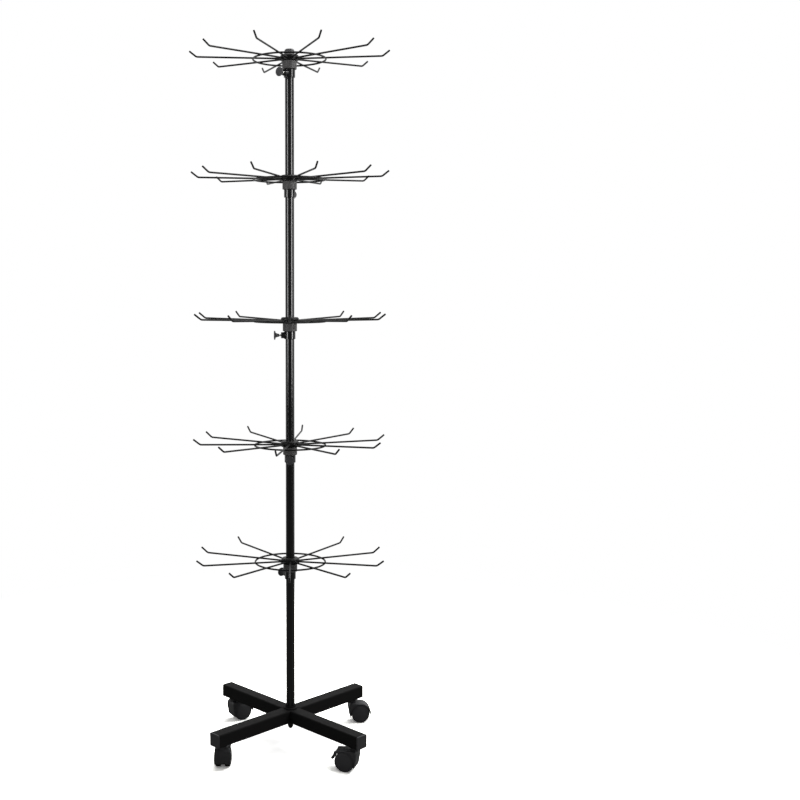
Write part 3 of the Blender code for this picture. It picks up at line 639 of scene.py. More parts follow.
@dataclass(frozen=True)
class Finish:
    """One finish of the rack, as a procedural material.

    The mottle is a slow drift of colour and gloss, as handling and uneven coating give.
    """

    mottle_detail = 3.0
    mottle_roughness = 0.55
    noise_low, noise_high = 0.3, 0.7        # nearly all of a noise lies between these
    pit_smoothness = 0.6
    drawn_scale = (1.0, 1.0, 6.0)           # the marks run level, and are six times finer upwards
    details = {Surface.SPRAYED: 1.0, Surface.PLATED: 2.0, Surface.POWDERED: 3.0}

    name: str
    slot: str
    surface: Surface
    colour: str
    drift_colour: str
    roughness: float
    roughness_drift: float
    relief_size: float
    relief_depth: float
    mottle_size: float = 18 * MM
    metallic: float = 0.0
    specular: float = 0.5

    def build(self) -> Material:
        """Make the material, on the piece's own Object coordinates.

        Returns:
            The material.
        """
        material = bpy.data.materials.new(self.name)
        material.use_nodes = True
        material.node_tree.nodes.clear()
        add = partial(add_node, material.node_tree)
        place = add("ShaderNodeTexCoord").outputs["Object"]
        mottle = add("ShaderNodeTexNoise", inputs={
            "Vector": place, "Scale": 1 / self.mottle_size, "Detail": self.mottle_detail,
            "Roughness": self.mottle_roughness}).outputs["Fac"]
        tint = add("ShaderNodeMix", {"data_type": "RGBA"}, {
            "Factor": mottle, 6: linear(self.colour), 7: linear(self.drift_colour)}).outputs[2]
        gloss = add("ShaderNodeMapRange", inputs={
            "Value": mottle, "From Min": self.noise_low, "From Max": self.noise_high,
            "To Min": self.roughness - self.roughness_drift, "To Max": self.roughness + self.roughness_drift})
        bump = add("ShaderNodeBump", inputs={
            "Strength": 1.0, "Distance": self.relief_depth, "Height": self.relief(add, place)})
        shader = add("ShaderNodeBsdfPrincipled", inputs={
            "Base Color": tint, "Roughness": gloss, "Metallic": self.metallic,
            "Specular IOR Level": self.specular, "Normal": bump})
        add("ShaderNodeOutputMaterial", inputs={"Surface": shader})
        return material

    def relief(self, add: partial, place: NodeSocket) -> NodeSocket:
        """Add the height pattern of the surface.

        Args:
            add: What adds a node to the material's tree.
            place: The coordinates that the pattern reads.

        Returns:
            The output with the height, from zero to one.
        """
        scale = 1 / self.relief_size
        if self.surface is Surface.MOULDED:
            return add("ShaderNodeTexVoronoi", {"feature": "SMOOTH_F1"}, {
                "Vector": place, "Scale": scale, "Smoothness": self.pit_smoothness}).outputs["Distance"]
        if self.surface is Surface.PLATED:
            place = add("ShaderNodeMapping", inputs={"Vector": place, "Scale": self.drawn_scale}).outputs[0]
        return add("ShaderNodeTexNoise", inputs={
            "Vector": place, "Scale": scale, "Detail": self.details[self.surface]}).outputs["Fac"]


class Finishes:
    """The rack's finishes, each built once."""

    # Air-drying enamel over round tube: deep black with sharp, slightly wavy reflections
    enamel = Finish("gloss_black_enamel", "gloss_black_paint", Surface.SPRAYED, "#09090a", "#0d0d0e",
                    0.20, 0.03, 9 * MM, 0.002 * MM, mottle_size=45 * MM, specular=0.36)
    # Polyester powder over square tube: satin charcoal black, with an orange skin drawn at 1.6 mm,
    # because the real one, under a millimetre across, is too fine to show
    powder = Finish("satin_black_powder_coat", "black_powder_coat", Surface.POWDERED, "#161616", "#1b1a1a",
                    0.66, 0.05, 1.6 * MM, 0.006 * MM, specular=0.06)
    # A thinner powder coat on the wire, where it runs a little: blacker and glossier than on the legs
    wire_powder = Finish("black_powder_coated_wire", "black_wire_coat", Surface.POWDERED, "#0c0c0c",
                         "#121212", 0.42, 0.05, 2.0 * MM, 0.003 * MM, mottle_size=12 * MM, specular=0.15)
    # Acetal, coloured dark grey in the mass: matte, and lighter than the metal round it
    acetal = Finish("dark_grey_acetal", "grey_sleeve_plastic", Surface.MOULDED, "#3c3b3b", "#444343",
                    0.60, 0.04, 0.8 * MM, 0.004 * MM, specular=0.35)
    # Polypropylene from a spark-eroded mould: a dull charcoal bloom over black
    polypropylene = Finish("black_polypropylene", "black_moulded_plastic", Surface.MOULDED, "#313133",
                           "#373739", 0.50, 0.05, 0.8 * MM, 0.005 * MM, specular=0.3)
    # Nylon wheel discs: smoother and a little lighter than the hoods
    nylon = Finish("black_nylon", "black_wheel_plastic", Surface.MOULDED, "#39393b", "#404042",
                   0.38, 0.04, 0.8 * MM, 0.003 * MM, specular=0.2)
    # Soft tyre ring: dull, with a trace of floor dust
    tyre = Finish("black_soft_tyre", "black_wheel_plastic", Surface.MOULDED, "#0f0f0f", "#1a1918",
                  0.75, 0.06, 0.8 * MM, 0.010 * MM, mottle_size=6 * MM, specular=0.15)
    # Zinc over a rolled thread: bright, with a cool and warm drift in the passivation
    zinc = Finish("bright_zinc_plate", "zinc_plated_steel", Surface.PLATED, "#c9ced4", "#d6d2c4",
                  0.26, 0.07, 0.5 * MM, 0.004 * MM, mottle_size=4 * MM, metallic=1.0)
    # Steel blackened in a hot bath: dark, with a brown cast where the oxide is thin
    black_oxide = Finish("black_oxide_steel", "blackened_steel", Surface.PLATED, "#161617", "#221f1d",
                         0.40, 0.06, 0.7 * MM, 0.004 * MM, mottle_size=7 * MM, metallic=0.7)

    def __init__(self) -> None:
        """Build a material for each finish."""
        kinds = [value for value in vars(Finishes).values() if isinstance(value, Finish)]
        self.materials = {finish: finish.build() for finish in kinds}
        self.by_slot = {finish.slot: finish for finish in reversed(kinds)}

    def repaint_model(self) -> None:
        """Give every node of the packed model the finish of its material slot."""
        slots = {part["node"]: part["material_slot"] for part in frame["record"]["subparts"]}
        for name, node in frame["nodes"].items():
            node.data.materials.clear()
            node.data.materials.append(self.materials[self.by_slot[slots[name]]])


# Pieces

def joint(name: str) -> tuple[Vector, Vector]:
    """Give the place and the axis of one of the model's joints."""
    found = next(entry for entry in frame["joints"] if entry["name"] == name)
    return Vector(found.get("pos_m", (0.0, 0.0, 0.0))), Vector(found["axis"])


def turned_to(place: Sequence[float], degrees: float = 0.0) -> Matrix:
    """Give the matrix that turns a piece round Z and then moves it to a place."""
    return Matrix.Translation(Vector(place)) @ Matrix.Rotation(math.radians(degrees), 4, "Z")


def rounded_square(size: float, edge: float) -> list[Corner]:
    """Give the points of a square with rounded corners, as (across, up)."""
    half = size / 2
    return eased([(x * half, y * half, edge) for x, y in ((1, 1), (-1, 1), (-1, -1), (1, -1))], steps=7)


@dataclass
class Assembly:
    """A part of the rack that builds its pieces and puts them over the model's nodes."""

    finishes: Finishes

    def material(self, finish: Finish) -> Material:
        """Give a finish's material."""
        return self.finishes.materials[finish]

    def dress(self, name: str, mesh: Mesh, finish: Finish, body: str, node: str | None = None,
              matrix: Matrix = Matrix()) -> None:
        """Put a finished mesh in the scene, riding on its body.

        Args:
            name: The piece's name.
            mesh: Its shape, which stays as it is for other copies.
            finish: What it is finished with.
            body: The body that carries it.
            node: The model's node that it stands for, if any.
            matrix: Its place, which goes into the mesh.
        """
        shape = evened(mesh.copy())
        shape.transform(matrix)
        shape.materials.clear()
        shape.materials.append(self.material(finish))
        piece = bpy.data.objects.new(name, shape)
        bpy.context.scene.collection.objects.link(piece)
        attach(piece, body)
        if node:
            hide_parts(node)
        log.info("%s: %d faces on %s", name, len(shape.polygons), body)


@dataclass
class Base(Assembly):
    """The cross of two square tubes, their end caps, and the pole's seat and nut."""

    leg_size: float = 0.030
    leg_wall: float = 0.0015
    leg_edge: float = 0.003
    leg_reach: float = 0.229
    leg_azimuth: float = 45.0
    cap_plate: float = 0.003
    cap_plug: float = 0.010
    cap_edge: float = 0.0009
    cap_steps: int = 4
    cut_edge: float = 0.0003
    stem_inset: float = 0.0235
    stem_hole: float = 0.0058
    stud_hole: float = 0.0043
    flange_radius: float = 0.016
    flange_plate: float = 0.0025
    flange_height: float = 0.0075
    flange_bore: float = 0.0104
    flange_neck: float = 0.0122
    flange_fillet: float = 0.0022
    nut_across_flats: float = 0.014
    nut_hex: float = 0.009
    nut_dome: float = 0.0095
    nut_face: float = 0.96          # the flat end's radius, as a share of half the width across flats
    nut_slope: float = 0.7          # the fall of its turned corners, as a share of their reach
    nut_shoulder: float = 0.94      # the dome's foot, as a share of half the width across flats
    nut_steps: int = 10
    nut_edge: float = 0.00015

    def leg(self, notch_from_top: bool) -> Mesh:
        """Make a square tube along X, notched at its middle, with its holes.

        Args:
            notch_from_top: Whether the notch opens upwards.

        Returns:
            The tube, with its axis at height zero.
        """
        half = self.leg_reach - self.cap_plate - GAP
        outer = rounded_square(self.leg_size, self.leg_edge)
        inner = rounded_square(self.leg_size - 2 * self.leg_wall, self.leg_edge - self.leg_wall)
        notch = self.leg_size / 2 + GAP
        low, high = (-GAP / 2, self.leg_size) if notch_from_top else (-self.leg_size, GAP / 2)
        holes = [rod(self.stud_hole, -self.leg_size, self.leg_size)]
        for side in (-1, 1):
            shift = Matrix.Translation((side * (self.leg_reach - self.stem_inset), 0.0, 0.0))
            holes.append(rod(self.stem_hole, -self.leg_size, 0.0, matrix=shift))
        tube = combined(
            lofted("leg", [[(x, y, z) for y, z in outer] for x in (-half, half)]), Joining.CUT,
            lofted("bore", [[(x, y, z) for y, z in inner] for x in (-2 * half, 2 * half)]),
            slab("notch", [(-notch, low), (notch, low), (notch, high), (-notch, high)], self.leg_size),
            gathered("holes", holes))
        return softened(tube, self.cut_edge, segments=2, angle=50.0)

    def cap(self) -> Mesh:
        """Make an end cap: a plate with an eased rim and a plug, along -X.

        Returns:
            The cap, with its outer face at zero.
        """
        edge, plate = self.cap_edge, self.cap_plate
        turns = [math.radians(90 * k / self.cap_steps) for k in range(self.cap_steps + 1)]
        rings = [(-edge * (1 - math.cos(t)), self.leg_size - 2 * (edge * (1 - math.sin(t)))) for t in turns]
        plug = rounded_square(self.leg_size - 2 * self.leg_wall - 2 * GAP, self.leg_edge - self.leg_wall)
        rings.append((-plate, self.leg_size))
        outlines = [(x, rounded_square(size, self.leg_edge)) for x, size in rings]
        outlines += [(-plate, plug), (-plate - self.cap_plug, plug)]
        return lofted("leg_cap", [[(x, y, z) for y, z in outline] for x, outline in outlines])

    def flange(self) -> Mesh:
        """Make the round seat of the pole, with a fillet at the foot of its neck.

        Returns:
            The seat, with its foot at zero.
        """
        plate, height, hole = self.flange_plate, self.flange_height, self.stud_hole
        return turned("foot_flange", [
            (hole, 0.0), (self.flange_radius, 0.0, 0.0003), (self.flange_radius, plate, 0.0009),
            (self.flange_neck, plate, self.flange_fillet), (self.flange_neck, height, 0.0006),
            (self.flange_bore, height, 0.0003), (self.flange_bore, plate), (hole, plate)], closed=True)

    def nut(self) -> Mesh:
        """Make a domed nut, mouth up: a hexagon with turned corners over a dome.

        Returns:
            The nut, with its mouth at zero.
        """
        flat, height = self.nut_across_flats / 2, self.nut_hex
        corner = self.nut_across_flats / math.sqrt(3)
        face, foot, fall = flat * self.nut_face, flat * self.nut_shoulder, (corner - flat) * self.nut_slope
        turns = [math.pi / 2 * k / self.nut_steps for k in range(self.nut_steps)]
        cone = turned("corners", [(0.0, 0.0), (face, 0.0), (corner, -fall), (corner, -height + fall),
                                  (face, -height), (0.0, -height)], MEDIUM)
        hexagon = combined(rod(corner, -height, 0.0, 6), Joining.KEEP_COMMON, cone)
        dome = [(0.0, -height / 2), (foot, -height / 2),
                *((foot * math.cos(t), -height - self.nut_dome * math.sin(t)) for t in turns),
                (0.0, -height - self.nut_dome)]
        nut = combined(hexagon, Joining.ADD, turned("dome", dome, MEDIUM))
        return softened(nut, self.nut_edge, segments=1, angle=25.0)

    def build(self) -> None:
        """Put the base's pieces over the model's."""
        own = Finishes
        low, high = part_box("leg_tube_lower")
        level = (low.z + high.z) / 2
        for side, from_top, turn in (("lower", True, 0), ("upper", False, 90)):
            self.dress("base_leg_" + side, self.leg(from_top), own.powder, "base", "leg_tube_" + side,
                       turned_to((0.0, 0.0, level), self.leg_azimuth + turn))
        cap = self.cap()
        for corner, turn in Castor.corners.items():
            azimuth = self.leg_azimuth + turn
            self.dress("base_leg_cap_" + corner, cap, own.polypropylene, "base", "leg_cap_" + corner,
                       turned_to((*polar(self.leg_reach, azimuth), level), azimuth))
        self.dress("base_foot_flange", self.flange(), own.powder, "base", "foot_flange",
                   turned_to((0, 0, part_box("foot_flange")[0].z)))
        self.dress("base_nut_domed", self.nut(), own.black_oxide, "base", "base_nut",
                   turned_to((0, 0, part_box("base_nut")[1].z)))


@dataclass
class Pole(Assembly):
    """Two round tubes end to end and a cap."""

    radius: float = 0.010
    wall: float = 0.0012
    end_edge: float = 0.0004
    cap_overhang: float = 0.0012
    cap_height: float = 0.0105
    cap_plug: float = 0.016
    # The cap's outside, as shares of its brim's radius and of its height, with the easings
    cap_outside: tuple[Corner, ...] = ((1.0, 0.0, 0.0003), (1.0, 0.45, 0.002), (0.93, 0.74, 0.003),
                                       (0.72, 0.93, 0.003), (0.42, 1.0, 0.002), (0.0, 1.0, 0.0))

    def tube(self, name: str, low: float, high: float) -> Mesh:
        """Make a length of round tube with its ends eased.

        Args:
            name: The mesh's name.
            low: Where it starts.
            high: Where it ends.

        Returns:
            The tube.
        """
        inner, outer, edge = self.radius - self.wall, self.radius, self.end_edge
        ends = [(inner, low, edge), (outer, low, edge), (outer, high, edge), (inner, high, edge)]
        return turned(name, ends, POLE_STEPS, closed=True, ease_steps=3)

    def cap(self) -> Mesh:
        """Make the cap: a low dome with a flat crown, a step under its rim and a plug.

        Returns:
            The cap, with the foot of its brim at zero.
        """
        brim, plug = self.radius + self.cap_overhang, self.radius - self.wall - GAP
        corners = [(0.0, -self.cap_plug), (plug, -self.cap_plug, 0.0006), (plug, 0.0)]
        corners += [(brim * out, self.cap_height * up, ease) for out, up, ease in self.cap_outside]
        return turned("pole_cap", corners)

    def build(self) -> None:
        """Put the tubes and the cap over the model's."""
        for part in ("lower", "upper"):
            low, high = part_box("pole_" + part)
            self.dress("pole_tube_" + part, self.tube("pole_" + part, low.z, high.z), Finishes.enamel, "base",
                       "pole_" + part)
        self.dress("pole_end_cap", self.cap(), Finishes.polypropylene, "base", "pole_cap",
                   turned_to((0, 0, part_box("pole_upper")[1].z + GAP)))


@dataclass
class Tier(Assembly):
    """One tier: a wheel of hooks on a sleeve, over a collar with its thumb screw."""

    wire_azimuths: tuple[float, ...] = (1.0, 35.0, 20.0, 12.0, 19.5)
    wires: int = 10
    wire_radius: float = 0.002
    tip_reach: float = 0.220
    tip_ease: float = 0.4           # of the wire's radius
    hook_run: float = 0.0158
    hook_rise: float = 0.0124
    bend_radius: float = 0.010
    arm_rise: float = 0.0045
    ring_radius: float = 0.080
    weld_depth: float = 0.001
    weld_spread: float = 1.5        # of the wire's radius
    bead_reach: float = 0.0034
    bead_radius: float = 0.0031
    hub_bore: float = 0.01365
    hub_radius: float = 0.0202
    hub_below: float = 0.005
    hub_above: float = 0.008
    hub_chamfer: float = 0.0025
    sleeve_radius: float = 0.016
    sleeve_height: float = 0.018
    sleeve_neck: float = 0.0133
    sliding_bore: float = 0.0104
    collar_radius: float = 0.0126
    collar_height: float = 0.0175
    boss_radius: float = 0.007
    boss_reach: float = 0.0201
    boss_edge: float = 0.0014
    weld_bead: float = 0.0009
    screw_radius: float = 0.0025
    screw_pitch: float = 0.0008
    screw_start: float = 0.0103
    screw_end: float = 0.0327
    screw_hole: float = 0.00285
    knob_start: float = 0.02463
    knob_disc_start: float = 0.03293
    knob_thickness: float = 0.0028
    knob_radius: float = 0.010
    knob_neck: float = 0.0035
    knob_socket: float = 0.0084
    knob_ribs: int = 44
    knob_rib: float = 0.0004
    knob_rib_end: float = 0.0001    # how far each rib stops short of the disc's faces
    knob_lip: float = 0.72          # where the disc's lip ends, as a share of its rim's radius,
    knob_well: float = 0.68         # and where the flat of the dish begins
    knob_dish: float = 0.0003
    weld_steps: int = 72
    weld_sides: int = 10
    thread_steps: int = 20          # in a turn
    # The knob's flare, as shares of its way out and along, with the easings
    knob_flare: tuple[Corner, ...] = ((0.06, 0.40, 0.004), (0.22, 0.74, 0.004), (0.52, 0.95, 0.002))

    def __post_init__(self) -> None:
        """Work out the levels, from the hub's middle, and build the trees."""
        self.sleeve_top = -self.hub_below - GAP
        self.sleeve_bottom = self.sleeve_top - self.sleeve_height
        self.collar_top = self.sleeve_bottom - GAP
        self.collar_bottom = self.collar_top - self.collar_height
        self.screw_level = (self.collar_top + self.collar_bottom) / 2
        self.hooks, self.ribs, self.path = HookWheelTree(), RibTree(), PathTree()

    def wheel(self) -> Mesh:
        """Make the wheel of hooks on its turned hub ring.

        Returns:
            The wheel, with the roots of its wires at zero.
        """
        bore, outer, top, bottom = self.hub_bore, self.hub_radius, self.hub_above, -self.hub_below
        hub = turned("hook_wheel", [
            (bore, bottom, 0.0005), (outer, bottom, 0.0013), (outer, top - self.hub_chamfer, 0.0012),
            (outer - self.hub_chamfer, top, 0.0009), (bore, top, 0.0005)], RING_STEPS, closed=True)
        bend = self.tip_reach - self.hook_run
        ring_share = (self.ring_radius - outer) / (bend - outer)
        angle = math.atan2(self.hook_rise, self.hook_run)
        ease = self.tip_ease * self.wire_radius
        return self.hooks.grow(hub, self.material(Finishes.wire_powder), {
            "Wires": self.wires, "Wire Radius": self.wire_radius, "Start Reach": (bore + outer) / 2,
            "Hub Radius": outer, "Bend Radius": self.bend_radius, "Bend Reach": bend,
            "Bend Height": self.arm_rise, "Tip Reach": self.tip_reach - ease * math.cos(angle),
            "Tip Height": self.arm_rise + self.hook_rise - ease * math.sin(angle),
            "Tip Ease": ease, "Tip Angle": -angle, "Ring Radius": self.ring_radius,
            "Ring Height": self.arm_rise * ring_share - 2 * self.wire_radius + self.weld_depth,
            "Bead Reach": self.bead_reach, "Bead Radius": self.bead_radius,
            "Weld Spread": self.weld_spread * self.wire_radius})

    def sleeve(self) -> Mesh:
        """Make the bush that carries the hub, with the neck that the hub turns on.

        Returns:
            The bush, at its level below the wheel.
        """
        radius, neck, bore = self.sleeve_radius, self.sleeve_neck, self.sliding_bore
        top, bottom, end = self.sleeve_top, self.sleeve_bottom, self.hub_above
        return turned("bearing_sleeve", [
            (bore, bottom, 0.0003), (radius, bottom, 0.0008), (radius, top, 0.0005), (neck, top, 0.0002),
            (neck, end, 0.0004), (bore, end, 0.0003)], closed=True)

    def collar(self) -> Mesh:
        """Make the clamp collar with its boss along X, bored for the pole and the screw.

        Returns:
            The collar, at its level below the wheel.
        """
        top, bottom, radius, reach = self.collar_top, self.collar_bottom, self.collar_radius, self.boss_reach
        sideways = turned_to((0, 0, self.screw_level)) @ ALONG_X
        ring = turned("lock_collar", [(0.0, bottom), (radius, bottom, 0.0008), (radius, top, 0.0008),
                                      (0.0, top)], POLE_STEPS)
        boss = turned("boss", [(0.0, 0.0), (self.boss_radius, 0.0), (self.boss_radius, reach, self.boss_edge),
                               (0.0, reach)], MEDIUM)
        boss.transform(sideways)
        return combined(combined(ring, Joining.ADD, boss), Joining.CUT,
                        rod(self.sliding_bore, bottom * 2, 0.0, POLE_STEPS),
                        rod(self.screw_hole, 0.0, 2 * reach, matrix=sideways))

    def collar_weld(self) -> Mesh:
        """Make the weld bead that runs round the boss where it meets the collar.

        Returns:
            The bead, at the collar's level.
        """
        points = []
        for k in range(self.weld_steps):
            across, up = polar(self.boss_radius, 360 * k / self.weld_steps)
            points.append(Vector((math.sqrt(self.collar_radius ** 2 - across ** 2), across,
                                  self.screw_level + up)))
        return self.path.grow(path_mesh("collar_weld", points, closed=True), self.material(Finishes.enamel),
                              {"Sides": self.weld_sides, "Radius": self.weld_bead})

    def screw(self) -> Mesh:
        """Make the clamp screw along Z: a core with a rolled thread.

        Returns:
            The screw, with the pole's axis at zero.
        """
        depth, start, end = self.screw_pitch / 2, self.screw_start, self.screw_end
        core = self.screw_radius - depth
        shank = turned("clamp_screw", [(0.0, start), (core, start, 0.0004), (core, end), (0.0, end)], FINE)
        length = end - start - 2 * depth
        turns = length / self.screw_pitch
        steps = int(turns * self.thread_steps)
        helix = [Vector((*polar(core, 360 * turns * k / steps), start + depth + length * k / steps))
                 for k in range(steps + 1)]
        ridge = self.path.grow(path_mesh("thread", helix), self.material(Finishes.zinc),
                               {"Sides": 4, "Radius": depth})
        return gathered("clamp_screw", [shank, ridge])

    def knob(self) -> Mesh:
        """Make the thumb knob along Z: a flared neck, and a dished disc with fine ribs on its rim.

        Returns:
            The knob, with the pole's axis at zero.
        """
        start, disc, neck, hole = self.knob_start, self.knob_disc_start, self.knob_neck, self.screw_hole
        top, rim, dish = disc + self.knob_thickness, self.knob_radius - self.knob_rib / 2, self.knob_dish
        length, flare = disc - start, rim - neck
        corners = [(0.0, start + self.knob_socket), (hole, start + self.knob_socket), (hole, start, 0.0002),
                   (neck, start, 0.0003)]
        corners += [(neck + out * flare, start + along * length, ease)
                    for out, along, ease in self.knob_flare]
        corners += [(rim, disc, 0.0006), (rim, top, 0.0007), (rim * self.knob_lip, top, 0.0008),
                    (rim * self.knob_well, top - dish, 0.0008), (0.0, top - dish)]
        return self.ribs.grow(turned("thumb_knob", corners), self.material(Finishes.polypropylene), {
            "Ribs": self.knob_ribs, "Arc Radius": rim - self.knob_rib / 2, "Arc Height": (disc + top) / 2,
            "First Angle": 0.0, "Step Angle": 2 * math.pi / self.knob_ribs, "Rib Radius": self.knob_rib,
            "Rib Half Length": self.knob_thickness / 2 - self.knob_rib_end})

    def build(self) -> None:
        """Put the pieces of all the tiers over the model's, each at its joint."""
        own = Finishes
        # Each piece's ending, mesh, finish, body and node; its body sets whether it lies along the screw
        pieces = (("hooks", self.wheel(), own.wire_powder, "tier_", "hook_wheel_"),
                  ("sleeve", self.sleeve(), own.acetal, "tier_", "bearing_sleeve_"),
                  ("collar", self.collar(), own.enamel, "collar_", "lock_collar_"),
                  ("collar_weld", self.collar_weld(), own.enamel, "collar_", ""),
                  ("screw", self.screw(), own.zinc, "screw_", "clamp_screw_"),
                  ("knob", self.knob(), own.polypropylene, "knob_", "thumb_knob_"))
        for index, azimuth in enumerate(self.wire_azimuths):
            n = str(index + 1)
            height = joint("tier_spin_" + n)[0].z
            axis = joint("screw_feed_" + n)[1]
            screw_azimuth = math.degrees(math.atan2(axis.y, axis.x))
            places = {"tier_": turned_to((0, 0, height), azimuth),
                      "collar_": turned_to((0, 0, height), screw_azimuth)}
            along_screw = turned_to((0, 0, height + self.screw_level), screw_azimuth) @ ALONG_X
            for ending, mesh, finish, body, node in pieces:
                self.dress(f"tier_{n}_{ending}", mesh, finish, body + n, node and node + n,
                           places.get(body, along_screw))


@dataclass
class Castor(Assembly):
    """The hooded twin-wheel castors. X runs from stem to axle, Y along the axle, Z up from the floor."""

    corners = {"front_left": 180.0, "front_right": 270.0, "back_right": 0.0, "back_left": 90.0}

    height: float = 0.057
    trail: float = 0.0195
    plate_radius: float = 0.0095
    plate: float = 0.003
    pin_radius: float = 0.004
    pin: float = 0.0110
    shank_radius: float = 0.0055
    shank: float = 0.019
    wheel_radius: float = 0.0225
    tread_width: float = 0.0102
    tyre_thickness: float = 0.0023
    wheel_dome: float = 0.005
    rim_share: float = 0.985        # the disc's rim, as a share of the wheel's radius
    web_half_width: float = 0.004
    axle_bore: float = 0.0028
    hood_half_width: float = 0.019
    hood_clearance: float = 0.001
    hood_wall: float = 0.0028
    hood_barrel: float = 0.12       # how much narrower the hood is at its top and foot, as a share
    hood_edge: float = 0.006
    hood_rounding: float = 0.0012
    shoulder_rounding: float = 0.0015
    neck_height: float = 0.004
    neck_wall: float = 0.0049
    axle_boss: float = 0.007
    hood_front: float = 202.0       # this and the next four are angles round the axle, in side view
    hood_back: float = 0.0
    hood_back_braked: float = 56.0
    hood_slope: float = 74.0
    hood_face: float = 178.0
    hood_flat: float = 0.75         # the end of the flat top, as a share of the neck's radius
    hood_eases: tuple[float, ...] = (0.006, 0.004, 0.003, 0.004)    # its corners, from the front up and back
    side_steps: int = 7             # steps of the hood's rounded sides,
    front_steps: int = 6            # of its front,
    back_steps: int = 14            # of its back
    inside_steps: int = 40          # and of its inside
    web_steps: int = 24
    boss_start: float = 210.0       # the web's round foot under the axle
    boss_stop: float = 330.0
    boss_steps: int = 16
    pivot_reach: float = 0.0278
    pivot_angle: float = 45.0
    barrel_radius: float = 0.0026
    lever_pin: float = 0.0015
    pin_steps: int = 24
    lever_half_width: float = 0.0125
    lever_length: float = 38.0      # in degrees round the axle
    shoe_clearance: float = 0.003
    lever_thickness: float = 0.004
    lever_lip: float = 0.0018
    lever_heel: float = 9.0         # these three are the angles, back from the pivot, at which the shoe's
    lever_back: float = 19.0        # inside, its back and the barrel begin,
    barrel_start: float = 47.0
    barrel_stop: float = 153.0      # and this is where the barrel ends, on past the pivot
    barrel_steps: int = 18
    ear_wall: float = 0.0011
    ear_thickness: float = 0.0035
    ear_reach: float = 12.0         # how far the ears' root goes past the hood's end, in degrees,
    ear_overhang: float = 4.0       # and how far their foot stops before it
    cut_edge: float = 0.0003
    lever_edge: float = 0.0005
    lip_width: float = 6.0          # in degrees, as are the next four
    lip_foot: float = 12.0
    lip_fade: float = 15.0
    rib_start: float = 18.0
    rib_step: float = 3.2
    rib_radius: float = 0.00055
    rib_sink: float = 0.0001
    rib_inset: float = 0.0025       # how far each rib stops short of the lever's sides
    face_start: float = 0.001       # how far the disc's rim stands past the tyre
    face_angles: tuple[float, ...] = (22, 30, 36)       # up the disc's dome, to its moulded ring,
    ring_angle: float = 40          # at the ring,
    inner_angles: tuple[float, ...] = (48, 54, 60, 66, 72, 78, 84)      # and past it
    ring_cut: float = 0.0005
    ring_width: float = 0.0006
    ring_rise: float = 0.0003
    disc_edge: float = 0.0004
    tyre_overlap: float = 0.0001    # how far the disc reaches into the tyre,
    tyre_inset: float = 0.0002      # and how far the tyre stops short of it inside
    tyre_setback: float = 0.0005    # and outside

    def __post_init__(self) -> None:
        """Work out the levels and build the tree of the lever's ribs."""
        self.housing_top = self.height - self.plate - 2 * GAP
        self.shoulder = self.housing_top - self.neck_height
        self.neck_radius = self.pin_radius + self.neck_wall
        self.inner = self.wheel_radius + self.hood_clearance
        self.outer = self.inner + self.hood_wall
        self.disc_start = self.web_half_width + GAP
        self.disc_end = self.disc_start + self.tread_width
        self.pivot = polar(self.pivot_reach, self.pivot_angle, self.trail, self.wheel_radius)
        self.to_pivot = Matrix.Translation((self.pivot[0], 0.0, self.pivot[1]))
        self.to_axle = Matrix.Translation((self.trail, 0.0, self.wheel_radius))
        self.ribs = RibTree()

    def round_axle(self, radius: float, start: float, stop: float, steps: int) -> list[Corner]:
        """Give an arc round the axle, in side view."""
        return arc(radius, start, stop, steps, self.trail, self.wheel_radius)

    def stem(self) -> Mesh:
        """Make the stem: a pin in the housing, a plate under the leg and a shank inside it.

        Returns:
            The stem, at its height over the floor.
        """
        top = self.height - GAP
        low, end = top - self.plate, top + self.shank
        return turned("castor_stem", [
            (0.0, low - self.pin), (self.pin_radius, low - self.pin, 0.0005), (self.pin_radius, low),
            (self.plate_radius, low, 0.0006), (self.plate_radius, top, 0.0006), (self.shank_radius, top),
            (self.shank_radius, end, 0.001), (0.0, end)], MEDIUM)

    def hood_outline(self, back: float, rounding: float) -> list[Corner]:
        """Give the hood's side view up to its shoulder.

        Args:
            back: Where the hood ends behind, in degrees round the axle.
            rounding: From zero to one, how far the side's rounding has drawn the edge in.

        Returns:
            The outline's points, equally many for every rounding.
        """
        outer = self.outer - rounding * self.hood_rounding
        drop = rounding * self.shoulder_rounding
        top = self.shoulder - drop
        front = -self.neck_radius + drop / 2
        knee = top - self.hood_edge
        foot, face, brow, crown = self.hood_eases
        return eased([
            *self.round_axle(outer, self.hood_front, self.hood_face, self.front_steps),
            (front, (knee + self.wheel_radius) / 2, foot), (front, knee, face),
            (front + self.hood_edge / 2, top, brow),
            (self.neck_radius * self.hood_flat - drop / 2, top, crown),
            *self.round_axle(outer, self.hood_slope, back, self.back_steps),
            *self.round_axle(self.inner, back, self.hood_front, self.inside_steps)])

    def barrel(self, height: float) -> float:
        """Give the hood's width at a height, as a share of the widest."""
        middle = (self.shoulder + self.hood_clearance) / 2
        return 1.0 - self.hood_barrel * ((height - middle) / (self.shoulder - middle)) ** 2

